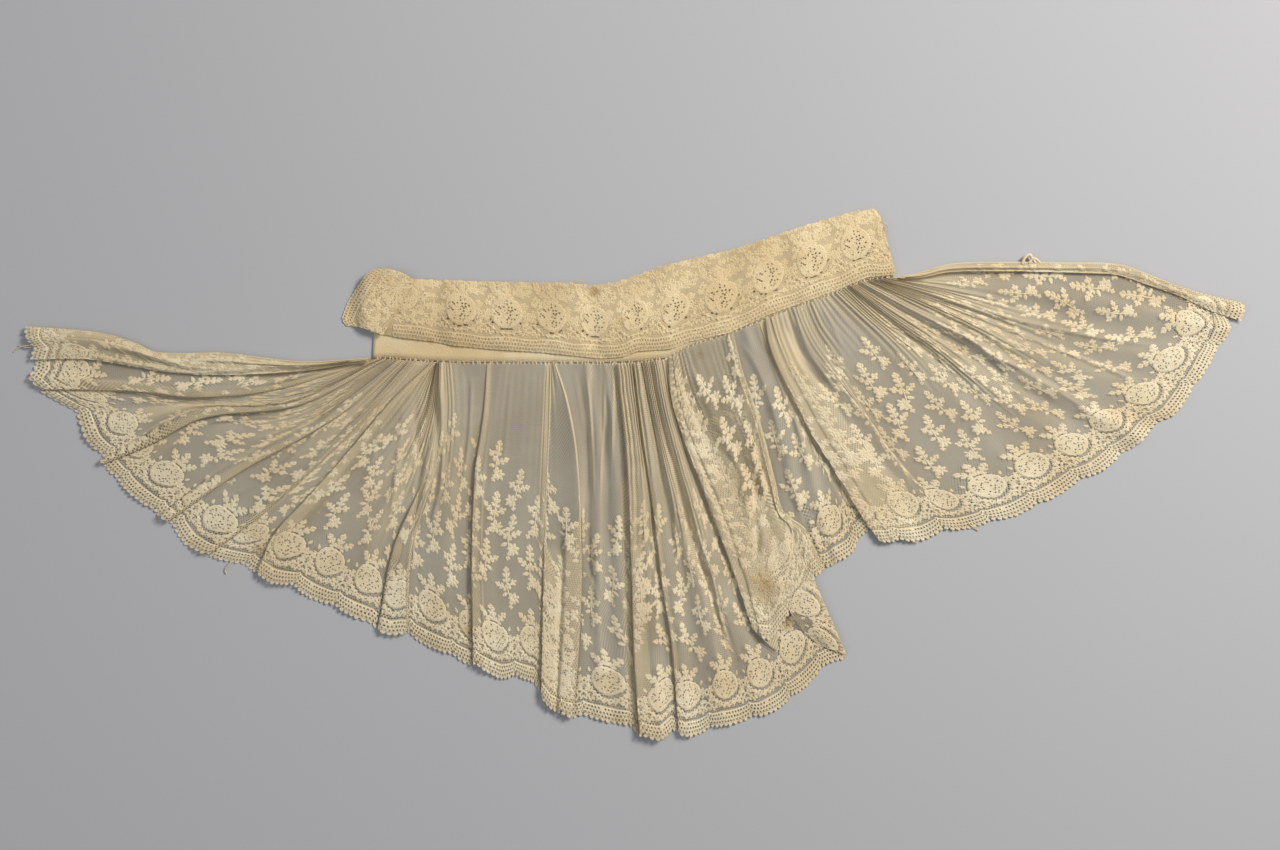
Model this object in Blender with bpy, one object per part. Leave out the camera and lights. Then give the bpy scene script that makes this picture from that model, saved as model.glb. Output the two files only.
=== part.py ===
"""A lace jabot laid flat: a lace neckband sewn on a tape, with a deep gathered lace flounce.

The flounce is one strip of lace, gathered to the neckband's lower edge. It lies fanned out in
stretches that fold over each other, and each stretch is one wall of cloth with its own table of
folds. Tables are in millimetres: +X to the wearer's left as it lies, +Y towards the neck edge,
+Z up from the surface that it rests on.
"""
import bisect
import math
from collections import namedtuple

import bmesh
import bpy

MM = 0.001

# Cloth
WALL = 1.3                # one layer of lace with its thread relief
LAYER_GAP = 0.5           # air between two layers that lie on each other
CARRIED = WALL + LAYER_GAP  # underside of a layer that lies on another one
SEAM_GAP = 0.6            # flounce to the tape's lower edge
FLAT_BAND = 0.3           # how much of a fold's foot is pressed flat on the surface

# Neckband
TAPE_THICK = 1.2
LACE_THICK = 1.6
LACE_UNDERSIDE = TAPE_THICK + 0.35
LACE_INSET = 1.2          # the lace covers the tape's edge by this much
NECK_SCALLOP = 14.0       # length of one shallow scallop along the neck edge
NECK_SCALLOP_DEPTH = 0.9
BAND_STEP = 4.6           # spacing of the sections along the band
BAND_ROWS = 6             # sections across the lace
BAND_LEFT = (-158.0, -155.5)  # the band's left end at its lower and its neck edge
BAND_RIGHT = (157.0, 147.5)

# Flounce
HEM_SCALLOP = 27.0        # length of one hem scallop
HEM_SCALLOP_DEPTH = 4.4
SCALLOP_MIDDLE = 0.6      # share of a scallop's depth at which its edge's middle line runs
COLUMNS_PER_SCALLOP = 4
ROWS = 11                 # sections between seam and hem
ROW_CROWDING = 1.3        # above 1 the sections crowd towards the seam, where the gathers are
GATHER_REACH = 0.34       # share of the depth that the gathers run down
TURNED_ROWS = 8           # sections along a turned corner or end
TURNED_SPACING = 4.0
LEFT_ROLL_ROWS = 22
RIGHT_ROLL_ROWS = 24
ROLL_SPACING = 3.5

IVORY = (0.79, 0.68, 0.45, 1.0)
CREAM = (0.80, 0.72, 0.53, 1.0)
BISCUIT = (0.72, 0.60, 0.38, 1.0)

# Lower edge of the tape, where the flounce is gathered on
SEAM_LINE = (
    (-160.0, 69.0), (-150.0, 69.2), (-122.0, 67.2), (-100.0, 66.4), (-20.0, 66.2), (5.0, 67.0),
    (20.0, 69.2), (31.0, 75.4), (45.0, 80.2), (57.0, 83.8), (70.0, 89.2), (80.0, 93.2),
    (95.0, 99.2), (117.0, 106.8), (128.0, 112.2), (140.0, 116.4), (157.0, 118.2),
)
# Neck edge of the tape and lace
NECK_LINE = (
    (-157.0, 116.0), (-131.0, 116.4), (-100.0, 115.4), (-70.0, 114.6), (-40.0, 114.4),
    (-26.0, 112.8), (-10.0, 114.6), (4.0, 119.8), (15.0, 123.8), (40.0, 130.0), (60.0, 134.4),
    (80.0, 141.2), (100.0, 147.8), (120.0, 153.8), (132.0, 157.0), (144.0, 158.6), (148.0, 154.0),
)
# Lower edge of the lace, which leaves a wedge of the plain tape bare at the left
LACE_LINE = (
    (-156.0, 84.0), (-139.0, 81.2), (-121.0, 79.0), (-107.0, 76.4), (-87.0, 74.4),
    (-53.0, 72.2), (-19.0, 68.6), (-6.0, 69.8), (2.0, 73.0), (22.0, 74.4), (34.0, 79.0),
    (57.0, 84.0), (80.0, 94.6), (117.0, 108.0), (140.0, 117.4), (157.0, 119.0),
)

# Creases across the neckband: where they cross it, how far they lean to the neck edge, how deep
Pucker = namedtuple("Pucker", "x lean depth width")
PUCKERS = (
    Pucker(-118.0, 1.0, 0.9, 5.0),
    Pucker(-90.0, -3.0, 0.5, 8.0),
    Pucker(-58.0, 2.0, 0.4, 9.0),
    Pucker(-22.0, -5.0, 1.1, 6.0),
    Pucker(8.0, 4.0, 0.6, 7.0),
    Pucker(36.0, -6.0, 0.5, 8.0),
    Pucker(64.0, -8.0, 0.9, 6.0),
    Pucker(94.0, -8.0, 0.8, 6.0),
    Pucker(122.0, -8.0, 0.5, 8.0),
)
PUCKER_CROWN = 0.9        # how far the lace stands up between the creases

# path: points from the seam to the hem; rise: underside above the surface at seam, middle, hem;
# layers: cloth layers in the upper part and at the hem; gather: height of the gathers
Fold = namedtuple("Fold", "path rise layers gather")


def read_line(line, x):
    """Height of a line given by points at the place x, with straight ends."""
    xs = [point[0] for point in line]
    index = min(max(bisect.bisect_right(xs, x), 1), len(line) - 1)
    (x0, y0), (x1, y1) = line[index - 1], line[index]
    return y0 + (y1 - y0) * (x - x0) / (x1 - x0)


def seam(x):
    """The point on the gathered seam at the place x, just below the tape."""
    return (x, read_line(SEAM_LINE, x) - SEAM_GAP)


def ease(t):
    """Smooth step from 0 to 1."""
    t = min(max(t, 0.0), 1.0)
    return t * t * (3.0 - 2.0 * t)


LEFT_FOLDS = (
    Fold((seam(-157), (-230, 65), (-296, 71), (-356, 79)), (0.0, 0.0, 0.0), (1, 1), 0.0),
    Fold((seam(-155), (-222, 56), (-290, 56), (-357, 63)), (0.0, 0.2, 0.0), (1, 1), 0.0),
    Fold((seam(-153), (-215, 51), (-285, 49), (-352, 49.5)), (0.2, 3.2, 2.0), (1, 1), 0.0),
    Fold((seam(-151), (-208, 45), (-275, 41), (-333, 36)), (0.4, 0.0, 0.0), (1, 1), 0.6),
    Fold((seam(-150), (-206, 43), (-270, 39), (-326, 20)), (1.4, 1.2, 1.0), (1, 1), 0.9),
    Fold((seam(-149), (-204, 42), (-265, 37), (-317, 9)), (0.8, 0.2, 0.0), (1, 1), 0.9),
    Fold((seam(-147.5), (-200, 41), (-258, 35), (-320, 4)), (3.0, 4.4, 3.4), (1, 1.6), 0.9),
    Fold((seam(-146), (-197, 38), (-258, 25), (-309, -4)), (0.6, 0.0, 0.0), (1, 1), 0.9),
    Fold((seam(-143.5), (-192, 35), (-252, 12), (-297, -14)), (1.8, 1.4, 1.2), (1, 1), 0.9),
    Fold((seam(-141), (-187, 34), (-244, 4), (-284, -25)), (0.4, 0.0, 0.0), (1, 1), 0.9),
    Fold((seam(-138), (-179, 33), (-237, 0), (-282, -31)), (3.6, 5.0, 3.6), (1, 1.6), 0.9),
    Fold((seam(-134), (-172, 29), (-226, -10), (-268, -41)), (0.4, 0.0, 0.0), (1, 1), 0.9),
    Fold((seam(-131), (-167, 27), (-215, -18), (-254, -48.5)), (2.2, 2.0, 1.2), (1, 1), 0.6),
    Fold((seam(-126), (-158, 28), (-205, -22), (-237, -53)), (0.0, 0.0, 0.0), (1, 1), 0.0),
    Fold((seam(-119), (-148, 24), (-192, -28), (-219, -61)), (0.0, 0.0, 0.0), (1, 1), 0.0),
)

CENTRE_FOLDS = (
    Fold((seam(-121), (-143, 45.5), (-172, 11.5), (-199, -18.5), (-215, -36), (-226, -59)),
         (CARRIED, CARRIED, CARRIED), (0.8, 0.8), 0.0),
    Fold((seam(-120), (-138, 43), (-166, 7), (-193, -23), (-208, -42), (-216, -64)),
         (CARRIED + 0.5, CARRIED + 0.4, CARRIED), (1.2, 1.2), 0.0),
    Fold((seam(-119), (-132, 40), (-158, 2), (-186, -30), (-206, -66)),
         (CARRIED, CARRIED, CARRIED), (1, 1), 0.0),
    Fold((seam(-118.4), (-127, 36), (-149, -4), (-175, -40), (-193, -73)), (0.4, 0.0, 0.0), (1, 1), 0.6),
    Fold((seam(-117.8), (-123, 36), (-140, -6), (-160, -45), (-175, -81)), (1.4, 1.6, 1.0), (1, 1), 0.6),
    Fold((seam(-117.2), (-120, 36), (-132, -6), (-149, -45), (-158, -88)), (0.4, 0.0, 0.0), (1, 1), 0.6),
    Fold((seam(-116.6), (-118, 36), (-127, -5), (-142, -45), (-151, -93)), (1.8, 2.2, 2.0), (1, 2), 0.6),
    Fold((seam(-115.6), (-116, 36), (-121, -3), (-131, -45), (-137, -95)), (1.8, 2.6, 2.2), (1, 2), 0.6),
    Fold((seam(-114.4), (-113.5, 36), (-117, -2), (-126, -45), (-131, -98)), (0.2, 0.0, 0.0), (1, 1), 0.6),
    Fold((seam(-109), (-107, 36), (-109, 0), (-115, -50), (-118, -104)), (1.0, 1.6, 1.0), (1, 1), 0.6),
    Fold((seam(-100), (-98, 40), (-101, 5), (-106, -50), (-106, -110)), (0.2, 0.0, 0.0), (1, 1), 0.6),
    Fold((seam(-90), (-92, 36), (-97, 0), (-100, -50), (-99, -112)), (0.8, 0.2, 0.0), (1, 1), 0.6),
    Fold((seam(-81), (-86, 34), (-92, -5), (-94.5, -55), (-93, -117)), (1.2, 4.4, 4.0), (1, 1.5), 0.6),
    Fold((seam(-74), (-78, 30), (-82, -10), (-84, -60), (-81, -121.5)), (0.4, 0.8, 0.6), (1, 1), 0.6),
    Fold((seam(-63), (-65, 30), (-68, -10), (-70, -60), (-69, -121)), (0.2, 0.6, 0.4), (1, 1), 0.6),
    Fold((seam(-53), (-55, 30), (-57, -10), (-60, -60), (-60, -123)), (0.0, 0.0, 0.0), (1, 1), 0.8),
    Fold((seam(-50.5), (-51.5, 30), (-53, -10), (-54, -60), (-55.5, -132)), (0.4, 1.2, 3.0), (1, 2), 0.8),
    Fold((seam(-48.5), (-46, 32), (-44, -10), (-43, -60), (-46, -142)), (0.8, 1.0, 1.2), (1, 1.8), 0.8),
    Fold((seam(-47), (-40, 44), (-34.5, 14), (-33, -30), (-33.5, -80), (-37, -145)),
         (2.0, 4.4, 3.4), (1, 2), 0.8),
    Fold((seam(-33), (-28.5, 34), (-26.5, 4), (-29.5, -30), (-28, -70), (-28, -145)),
         (0.2, 0.0, 0.0), (1, 1), 1.4),
    Fold((seam(-28), (-23, 32), (-22, 0), (-22, -40), (-20, -146)), (2.0, 3.2, 1.2), (1, 1), 1.4),
    Fold((seam(-22), (-17, 32), (-16.5, 0), (-15.5, -50), (-12, -148)), (0.2, 0.0, 0.0), (1, 1), 1.6),
    Fold((seam(-16), (-13, 32), (-11, 0), (-9, -50), (-7, -149)), (2.4, 1.8, 0.8), (1, 1), 1.6),
    Fold((seam(-12.5), (-9.5, 32), (-7.5, 0), (-5.5, -50), (-3, -150)), (0.2, 0.0, 0.0), (1, 1), 1.6),
    Fold((seam(-10), (-6.5, 32), (-3.5, 0), (-1.5, -55), (0, -105), (3.5, -157.2)),
         (3.0, 5.4, 4.6), (1, 1.5), 1.6),
    Fold((seam(-6), (-1, 32), (3.5, -5), (7, -60), (12, -157)), (0.6, 1.2, 0.8), (1, 1), 1.6),
    Fold((seam(-2), (3, 25), (9, -20), (14, -65), (20, -105), (24, -152)), (0.2, 0.0, 0.0), (1, 1), 1.6),
    Fold((seam(1), (7, 25), (13.5, -20), (19, -65), (25, -105), (30, -156)), (2.6, 3.8, 3.0), (1, 1.5), 1.6),
    Fold((seam(4), (12, 25), (20, -18), (28, -60), (34, -105), (39.5, -154.5)), (0.4, 0.2, 0.0), (1, 1), 1.6),
    Fold((seam(6.5), (13.5, 30), (25, -12), (34, -48), (46, -95), (53, -149.5)), (2.6, 4.4, 1.8), (1, 1), 1.6),
    Fold((seam(9), (16.5, 30), (28.5, -12), (38.5, -48), (52, -90), (64, -147.5)), (0.3, 0.0, 0.0), (1, 1), 1.4),
    Fold((seam(13), (20, 32), (33, -12), (44.5, -48), (58, -92), (77, -144)), (2.4, 3.2, 1.0), (1, 1), 1.0),
    Fold((seam(18), (24.5, 36), (39, -8), (55, -48), (68, -88), (90, -137)), (0.0, 0.0, 0.0), (1, 1), 0.0),
    Fold((seam(22), (33, 34), (50, -5), (74, -50), (90, -85), (105, -123.5)), (0.0, 0.0, 0.0), (1, 1), 0.0),
    Fold((seam(27), (40, 34), (60, -2), (86, -42), (101, -68), (117, -112)), (0.0, 0.0, 0.0), (1, 1), 0.0),
    Fold((seam(28.5), (43, 34), (64, -3), (90, -40), (107, -65), (126.5, -108.5)), (0.0, 0.0, 0.0), (1, 1), 0.0),
)

CASCADE_FOLDS = (
    Fold((seam(21), (22.5, 45), (31, 18), (46, -22), (60.6, -62), (71, -93)),
         (CARRIED, CARRIED, CARRIED), (0.9, 0.9), 0.0),
    Fold((seam(23), (26.5, 46), (36, 18), (53, -22), (66, -60), (76, -97.5)), (2.6, 3.2, 2.8), (2, 2), 0.5),
    Fold((seam(26), (31.5, 47), (44, 17), (63, -20), (71.5, -45), (81.5, -98)),
         (CARRIED, CARRIED, CARRIED), (2, 2), 0.5),
    Fold((seam(30), (38, 49), (53, 19), (70, -16), (81, -50), (88, -88.5)), (3.0, 3.4, 2.8), (2, 2), 0.5),
    Fold((seam(33), (42, 51), (57, 21), (73.5, -13), (87, -48), (94, -83.5)),
         (CARRIED, CARRIED, CARRIED), (1, 1.6), 0.5),
    Fold((seam(42), (50, 56), (63, 26), (77, -9), (92, -45), (100, -77.5)), (3.0, 2.8, 2.2), (1, 1.6), 0.5),
    Fold((seam(52), (58, 58), (69, 28), (80.5, -6), (95, -38), (105.5, -67)),
         (CARRIED, CARRIED, CARRIED), (1, 1.6), 0.5),
    Fold((seam(57), (62.5, 60), (73, 30), (82, -6), (87, -25), (100, -35), (110.5, -59)),
         (3.8, 4.4, 2.8), (1, 1.6), 0.5),
    Fold((seam(59), (65, 60.5), (75.5, 30), (84.5, -5), (89.5, -23.5), (102, -33), (113, -56.5)),
         (CARRIED, CARRIED, CARRIED), (0.8, 0.8), 0.0),
)

# The centre's corner turned back on itself; its folds run down the straight turned edge
CORNER_FOLDS = (
    Fold(((110.4, -67.5), (118, -86), (126.8, -107.5)), (CARRIED, CARRIED, CARRIED), (0.9, 0.9), 0.0),
    Fold(((109, -70), (114.5, -87), (124.8, -106.2)), (2.2, 2.6, 2.0), (1.2, 1), 0.0),
    Fold(((107.4, -74), (109.5, -88.5), (119.5, -103.5)), (2.0, 2.8, 2.2), (1.2, 1), 0.0),
    Fold(((104.5, -80), (104.6, -90), (113, -99)), (CARRIED, CARRIED, CARRIED), (0.9, 0.9), 0.0),
)

UNDER_FOLDS = (
    Fold((seam(30.5), (45, 35), (66, -2), (92, -38), (109.5, -60)), (0.0, 0.0, 0.0), (1, 1), 0.0),
    Fold((seam(48), (60, 45), (76, 5), (94, -30), (112.5, -58)), (0.0, 0.0, 0.0), (1, 1), 0.0),
    Fold((seam(60.5), (73, 50), (86, 10), (95, -22), (114, -57)), (0.0, 0.0, 0.0), (1, 1), 0.0),
    Fold((seam(66), (80, 51), (91.5, 10), (98.5, -18), (116, -56)), (1.8, 2.2, 0.0), (1, 1), 1.0),
    Fold((seam(71), (87, 50), (97.5, 14), (102.5, -14), (118, -54.5)), (0.2, 0.0, 0.0), (1, 1), 0.4),
    Fold((seam(74), (91, 46), (103, 10), (109, -16), (121.5, -51)), (0.2, 1.6, 1.2), (1, 1), 0.0),
    Fold((seam(76.5), (95, 44), (110, 6), (118.5, -18), (130.5, -46)), (0.2, 0.0, 0.0), (1, 1), 0.0),
    Fold((seam(78.5), (99, 43), (117, 5), (128, -17), (138, -34)), (0.0, 0.0, 0.0), (1, 1), 0.0),
    Fold((seam(81), (104, 43), (123, 5), (135, -15), (145.5, -27)), (0.0, 0.0, 0.0), (1, 1), 0.0),
)

RIGHT_FOLDS = (
    Fold((seam(79), (81, 78), (87, 62), (96, 44), (106.5, 23.5), (119, 3.5), (137, -26.5), (147, -40.5)),
         (CARRIED, CARRIED, CARRIED), (0.9, 0.9), 0.0),
    Fold((seam(82), (86, 80), (93, 63), (103, 44), (115, 22), (128, 2), (145, -26), (155, -41.5)),
         (2.5, 2.7, 2.3), (2, 2), 0.4),
    Fold((seam(87.5), (91, 84), (98.5, 66), (110, 47), (124, 24), (138, 4), (156, -23), (166, -41)),
         (CARRIED, 2.2, CARRIED), (2, 2), 0.4),
    Fold((seam(91.5), (95, 86), (101, 71), (114, 54), (133, 31), (151, 5), (175, -37.5)),
         (0.2, 0.0, 0.0), (1, 1.2), 1.0),
    Fold((seam(96), (100, 88), (107, 74), (121, 57), (140, 33), (159, 5), (185, -33.5)),
         (3.0, 2.8, 1.2), (1, 1), 1.0),
    Fold((seam(102), (108, 86), (118, 70), (135, 43), (155, 12), (197, -32)), (0.2, 0.0, 0.0), (1, 1), 1.0),
    Fold((seam(108), (115, 88), (127, 72), (145, 46), (169, 12), (213, -28.5)), (2.0, 1.6, 0.9), (1, 1), 1.0),
    Fold((seam(116), (128, 93), (143, 77), (166, 48), (192, 15), (229, -23.5)), (0.2, 0.0, 0.0), (1, 1), 1.0),
    Fold((seam(122), (136, 96), (154, 80), (181, 52), (210, 20), (247, -15.5)), (2.2, 1.6, 0.9), (1, 1), 1.0),
    Fold((seam(127), (149, 91), (172.5, 74.5), (192, 57), (223, 28), (262, -6)), (0.2, 0.0, 0.0), (1, 1), 1.0),
    Fold((seam(130), (154, 94.5), (178, 78), (201, 61), (236, 35), (278, 2)), (2.8, 2.4, 1.2), (1, 1), 1.0),
    Fold((seam(133), (158, 97.5), (183, 82.5), (208, 67), (246, 42), (293, 12.5)), (0.2, 0.0, 0.0), (1, 1), 0.8),
    Fold((seam(136), (161, 100.5), (188, 86.5), (214, 72), (251, 49), (303, 21)), (2.8, 3.0, 2.6), (1, 1.4), 0.8),
    Fold((seam(139), (165, 102.5), (195, 88), (232, 66.5), (262, 49), (309, 27.5)), (0.2, 0.0, 0.0), (1, 1), 0.8),
    Fold((seam(142), (170, 104), (203, 89), (245, 68), (283, 51), (322, 35.5)), (2.4, 2.2, 1.4), (1, 1), 0.8),
    Fold((seam(145), (175, 106), (209, 93.5), (252, 78), (298, 63), (338, 56)), (0.2, 0.0, 0.0), (1, 1), 0.8),
    Fold((seam(148), (180, 109), (213, 98.5), (256, 86), (305, 74), (345, 70)), (2.6, 2.4, 1.2), (1, 1), 0.8),
    Fold((seam(151), (183, 111), (217, 104), (260, 94.5), (312, 84.5), (353, 80)), (0.2, 0.0, 0.0), (1, 1), 0.3),
    Fold((seam(153.5), (186, 114.5), (220, 110.5), (264, 103.5), (317, 93.5), (355.5, 87)),
         (0.2, 1.8, 1.0), (1, 1), 0.0),
    Fold((seam(155), (186, 119), (222, 117.5), (268, 112), (320, 101), (354.5, 93)), (0.0, 0.0, 0.0), (1, 1), 0.0),
    Fold((seam(156), (170, 117.5), (186, 122), (210, 124), (262, 123.5), (296, 119.5), (330, 107), (354, 97)),
         (0.0, 0.0, 0.0), (1, 1), 0.0),
)

# Edges that are turned over on themselves, as long narrow rolls
LEFT_ROLL_FOLDS = (
    Fold(((-159, 68.8), (-200, 66.8), (-245, 71.8), (-286, 72.4), (-300, 78.4), (-320, 84), (-362.5, 87.8)),
         (CARRIED, CARRIED, CARRIED), (0.9, 0.9), 0.0),
    Fold(((-159, 68.2), (-200, 64.8), (-245, 68), (-284, 68.6), (-300, 74), (-322, 79.5), (-364.2, 81.5)),
         (2.8, 3.8, 3.4), (1.4, 1.8), 0.0),
    Fold(((-159, 67.6), (-200, 62.8), (-245, 62.5), (-282, 64.4), (-302, 69), (-326, 73.5), (-357, 75)),
         (2.7, 2.7, 2.4), (1.4, 1.8), 0.0),
    Fold(((-159, 67.0), (-200, 61), (-245, 58.8), (-282, 60.8), (-304, 64.8), (-330, 68.4), (-359.5, 68)),
         (2.4, CARRIED, CARRIED), (0.9, 0.9), 0.0),
)
RIGHT_ROLL_FOLDS = (
    Fold(((158.5, 117.6), (170, 119.8), (186, 124.6), (205, 126.3), (258, 126), (290, 125), (312, 117.4),
          (330, 110.6), (350, 105), (364, 102)), (CARRIED, CARRIED, CARRIED), (0.9, 0.9), 0.0),
    Fold(((159, 117.1), (171, 118.4), (187, 122.4), (206, 123.6), (258, 123), (290, 121.8), (311, 114.8),
          (329, 108.4), (348, 101.5), (364.2, 97.4)), (2.2, 2.9, 2.4), (1.4, 1.5), 0.0),
    Fold(((159.5, 116.6), (172, 117.0), (188, 120.2), (207, 120.8), (258, 120.2), (290, 118.6), (310, 112),
          (328, 105.8), (345, 97.5), (361.5, 92)), (CARRIED, CARRIED, CARRIED), (0.9, 0.9), 0.0),
)

# The lace's left end, doubled over on the band; its folds run from the band outwards
TURNED_END_FOLDS = (
    Fold(((-150, 82.6), (-157, 85), (-165, 87.6), (-173, 88.4)), (0, 0, 0), (1, 1), 0.0),
    Fold(((-146, 90), (-158, 91), (-167, 91.4), (-175.4, 92.6)), (0, 0, 0), (1.2, 1), 0.0),
    Fold(((-141.5, 98), (-153, 98.5), (-163, 100), (-171.6, 103)), (0, 0, 0), (1.4, 1), 0.0),
    Fold(((-136.5, 106), (-147, 107.4), (-157, 109), (-166.4, 110.4)), (0, 0, 0), (1.4, 1), 0.0),
    Fold(((-133, 111.6), (-143, 114.4), (-152, 117), (-160.6, 118.6)), (0, 0, 0), (1.2, 1), 0.0),
    Fold(((-131.5, 116), (-138, 119.6), (-146, 122), (-155, 122.4)), (0, 0, 0), (1, 1), 0.0),
)
TAPE_END = -157.0         # left end of the tape, which the turned end hangs over
DROP_LENGTH = 9.0         # how far past it the turned end takes to come down to the surface


def clear_scene():
    """Start from an empty scene."""
    for item in list(bpy.data.objects):
        bpy.data.objects.remove(item, do_unlink=True)


def cloth_material(name, colour, roughness):
    """A plain cloth material with a soft sheen."""
    material = bpy.data.materials.new(name)
    material.use_nodes = True
    shader = material.node_tree.nodes["Principled BSDF"]
    shader.inputs["Base Color"].default_value = colour
    shader.inputs["Roughness"].default_value = roughness
    shader.inputs["Metallic"].default_value = 0.0
    shader.inputs["Sheen Weight"].default_value = 0.3
    return material


def point_along(path, share):
    """The point at a share of a path's length, on a smooth curve through its points."""
    lengths = [0.0]
    for start, end in zip(path, path[1:]):
        lengths.append(lengths[-1] + math.dist(start, end))
    place = share * lengths[-1]
    index = min(max(bisect.bisect_right(lengths, place), 1), len(path) - 1)
    before, after = index - 1, index
    span = lengths[after] - lengths[before]
    t = (place - lengths[before]) / span

    def slope(i, axis):
        low, high = max(i - 1, 0), min(i + 1, len(path) - 1)
        return (path[high][axis] - path[low][axis]) / (lengths[high] - lengths[low])

    point = []
    for axis in (0, 1):
        a, b = path[before][axis], path[after][axis]
        pull_a, pull_b = slope(before, axis) * span, slope(after, axis) * span
        point.append(
            (2 * t**3 - 3 * t**2 + 1) * a + (t**3 - 2 * t**2 + t) * pull_a
            + (3 * t**2 - 2 * t**3) * b + (t**3 - t**2) * pull_b
        )
    return point


def through_three(values, share):
    """A smooth value from its values at the seam, the middle and the hem."""
    seam_value, middle, hem = values
    if share < 0.5:
        return seam_value + (middle - seam_value) * ease(share * 2)
    return middle + (hem - middle) * ease(share * 2 - 1)


def mix(a, b, t):
    """The value at t between a and b."""
    return a + (b - a) * t


def fold_columns(folds, spacing):
    """Columns between the folds as (fold, next fold, place between them)."""
    columns = []
    for fold, following in zip(folds, folds[1:]):
        count = max(1, round(math.dist(fold.path[-1], following.path[-1]) / spacing))
        columns += [(fold, following, step / count) for step in range(count)]
    return columns + [(folds[-1], folds[-1], 0.0)]


def scallop(place, length, depth):
    """How far a scalloped edge stands out from its middle line."""
    return depth * (math.sqrt(abs(math.sin(math.pi * place / length))) - SCALLOP_MIDDLE)


def cloth_grid(folds, rows, spacing, hem_depth=0.0, first_scallop=0.0, carried=None):
    """Columns of (x, y, underside, top) for a stretch of cloth, from its table of folds."""
    grid = []
    hem_place = first_scallop
    last_hem = None
    for number, (fold, following, between) in enumerate(fold_columns(folds, spacing)):
        column = []
        gather = mix(fold.gather, following.gather, between) * (number % 2)
        for row in range(rows + 1):
            share = (row / rows) ** ROW_CROWDING
            here = point_along(fold.path, share)
            there = point_along(following.path, share)
            x, y = (mix(here[axis], there[axis], between) for axis in (0, 1))
            rise = mix(through_three(fold.rise, share), through_three(following.rise, share), ease(between))
            rise += gather * (1.0 - ease(share / GATHER_REACH))
            low = max(rise - FLAT_BAND, 0.0) if rise < CARRIED else rise
            low = max(low, carried(x)) if carried else low
            layers = [mix(*item.layers, ease(share)) for item in (fold, following)]
            column.append([x, y, low, low + WALL * mix(*layers, between)])
        if hem_depth:
            (x, y), (x_in, y_in) = column[-1][:2], column[-2][:2]
            hem_place += math.dist(last_hem, (x, y)) if last_hem else 0.0
            last_hem = (x, y)
            push = scallop(hem_place, HEM_SCALLOP, hem_depth) / math.dist((x, y), (x_in, y_in))
            column[-1][:2] = x + (x - x_in) * push, y + (y - y_in) * push
        grid.append(column)
    return grid


def wall_object(name, grid, material):
    """One closed wall of cloth from columns of (x, y, underside, top)."""
    mesh = bmesh.new()
    low = [[mesh.verts.new((x * MM, y * MM, z * MM)) for x, y, z, _ in column] for column in grid]
    high = [[mesh.verts.new((x * MM, y * MM, z * MM)) for x, y, _, z in column] for column in grid]
    rows = len(grid[0])
    for i in range(len(grid) - 1):
        for j in range(rows - 1):
            mesh.faces.new((high[i][j], high[i + 1][j], high[i + 1][j + 1], high[i][j + 1]))
            mesh.faces.new((low[i][j], low[i][j + 1], low[i + 1][j + 1], low[i + 1][j]))
        for j in (0, rows - 1):
            mesh.faces.new((low[i][j], low[i + 1][j], high[i + 1][j], high[i][j]))
    for i in (0, len(grid) - 1):
        for j in range(rows - 1):
            mesh.faces.new((low[i][j], low[i][j + 1], high[i][j + 1], high[i][j]))
    bmesh.ops.triangulate(mesh, faces=mesh.faces, quad_method="SHORT_EDGE")
    bmesh.ops.recalc_face_normals(mesh, faces=mesh.faces)
    data = bpy.data.meshes.new(name)
    mesh.to_mesh(data)
    mesh.free()
    data.shade_smooth()
    data.set_sharp_from_angle(angle=math.radians(50))
    data.materials.append(material)
    item = bpy.data.objects.new(name, data)
    bpy.context.scene.collection.objects.link(item)
    return item


def band_end(side, share):
    """The x of the band's left or right end at a share of its height, from lower to neck edge."""
    return mix(*(BAND_LEFT if side < 0 else BAND_RIGHT), share)


def band_columns(lower, upper, rows, inset):
    """Sections across the band between two lines, as columns of (x, y, lean place)."""
    count = round((band_end(1, 0) - band_end(-1, 0)) / BAND_STEP)
    sections = []
    for step in range(count + 1):
        column = []
        for row in range(rows + 1):
            share = row / rows
            left, right = band_end(-1, share) + inset, band_end(1, share) - inset
            x = mix(left, right, step / count)
            y = mix(read_line(lower, x), read_line(upper, x) - inset, share)
            column.append((x, y, share))
        sections.append(column)
    return sections


def make_tape(material):
    """The tape that carries the lace and the gathers, flat on the surface."""
    grid = [
        [(x, y, 0.0, TAPE_THICK) for x, y, _ in column]
        for column in band_columns(SEAM_LINE, NECK_LINE, 1, LACE_INSET)
    ]
    return wall_object("neck_tape", grid, material)


def pucker_height(x, share):
    """Height of the neckband lace over the tape at a place along and across it."""
    hollow = 0.0
    for pucker in PUCKERS:
        away = (x - pucker.x - pucker.lean * share) / pucker.width
        hollow = max(hollow, pucker.depth * math.exp(-away * away))
    crown = PUCKER_CROWN * math.sin(math.pi * share) ** 0.5
    return max(crown - hollow, 0.0)


def make_neckband(material):
    """The lace neckband on its tape, crowned between its creases, with a scalloped neck edge."""
    grid = []
    for column in band_columns(LACE_LINE, NECK_LINE, BAND_ROWS, 0.0):
        section = []
        for x, y, share in column:
            low = LACE_UNDERSIDE + pucker_height(x, share)
            y += scallop(x, NECK_SCALLOP, NECK_SCALLOP_DEPTH) * (share == 1.0)
            section.append((x, y, low, low + LACE_THICK))
        grid.append(section)
    return wall_object("neckband_lace", grid, material)


def over_the_band(x):
    """Underside of the turned end: on the lace over the band, and down to the surface past it."""
    top_of_lace = LACE_UNDERSIDE + PUCKER_CROWN + LACE_THICK + LAYER_GAP
    return top_of_lace * ease((x - TAPE_END + DROP_LENGTH) / (DROP_LENGTH - 2.0))


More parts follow.
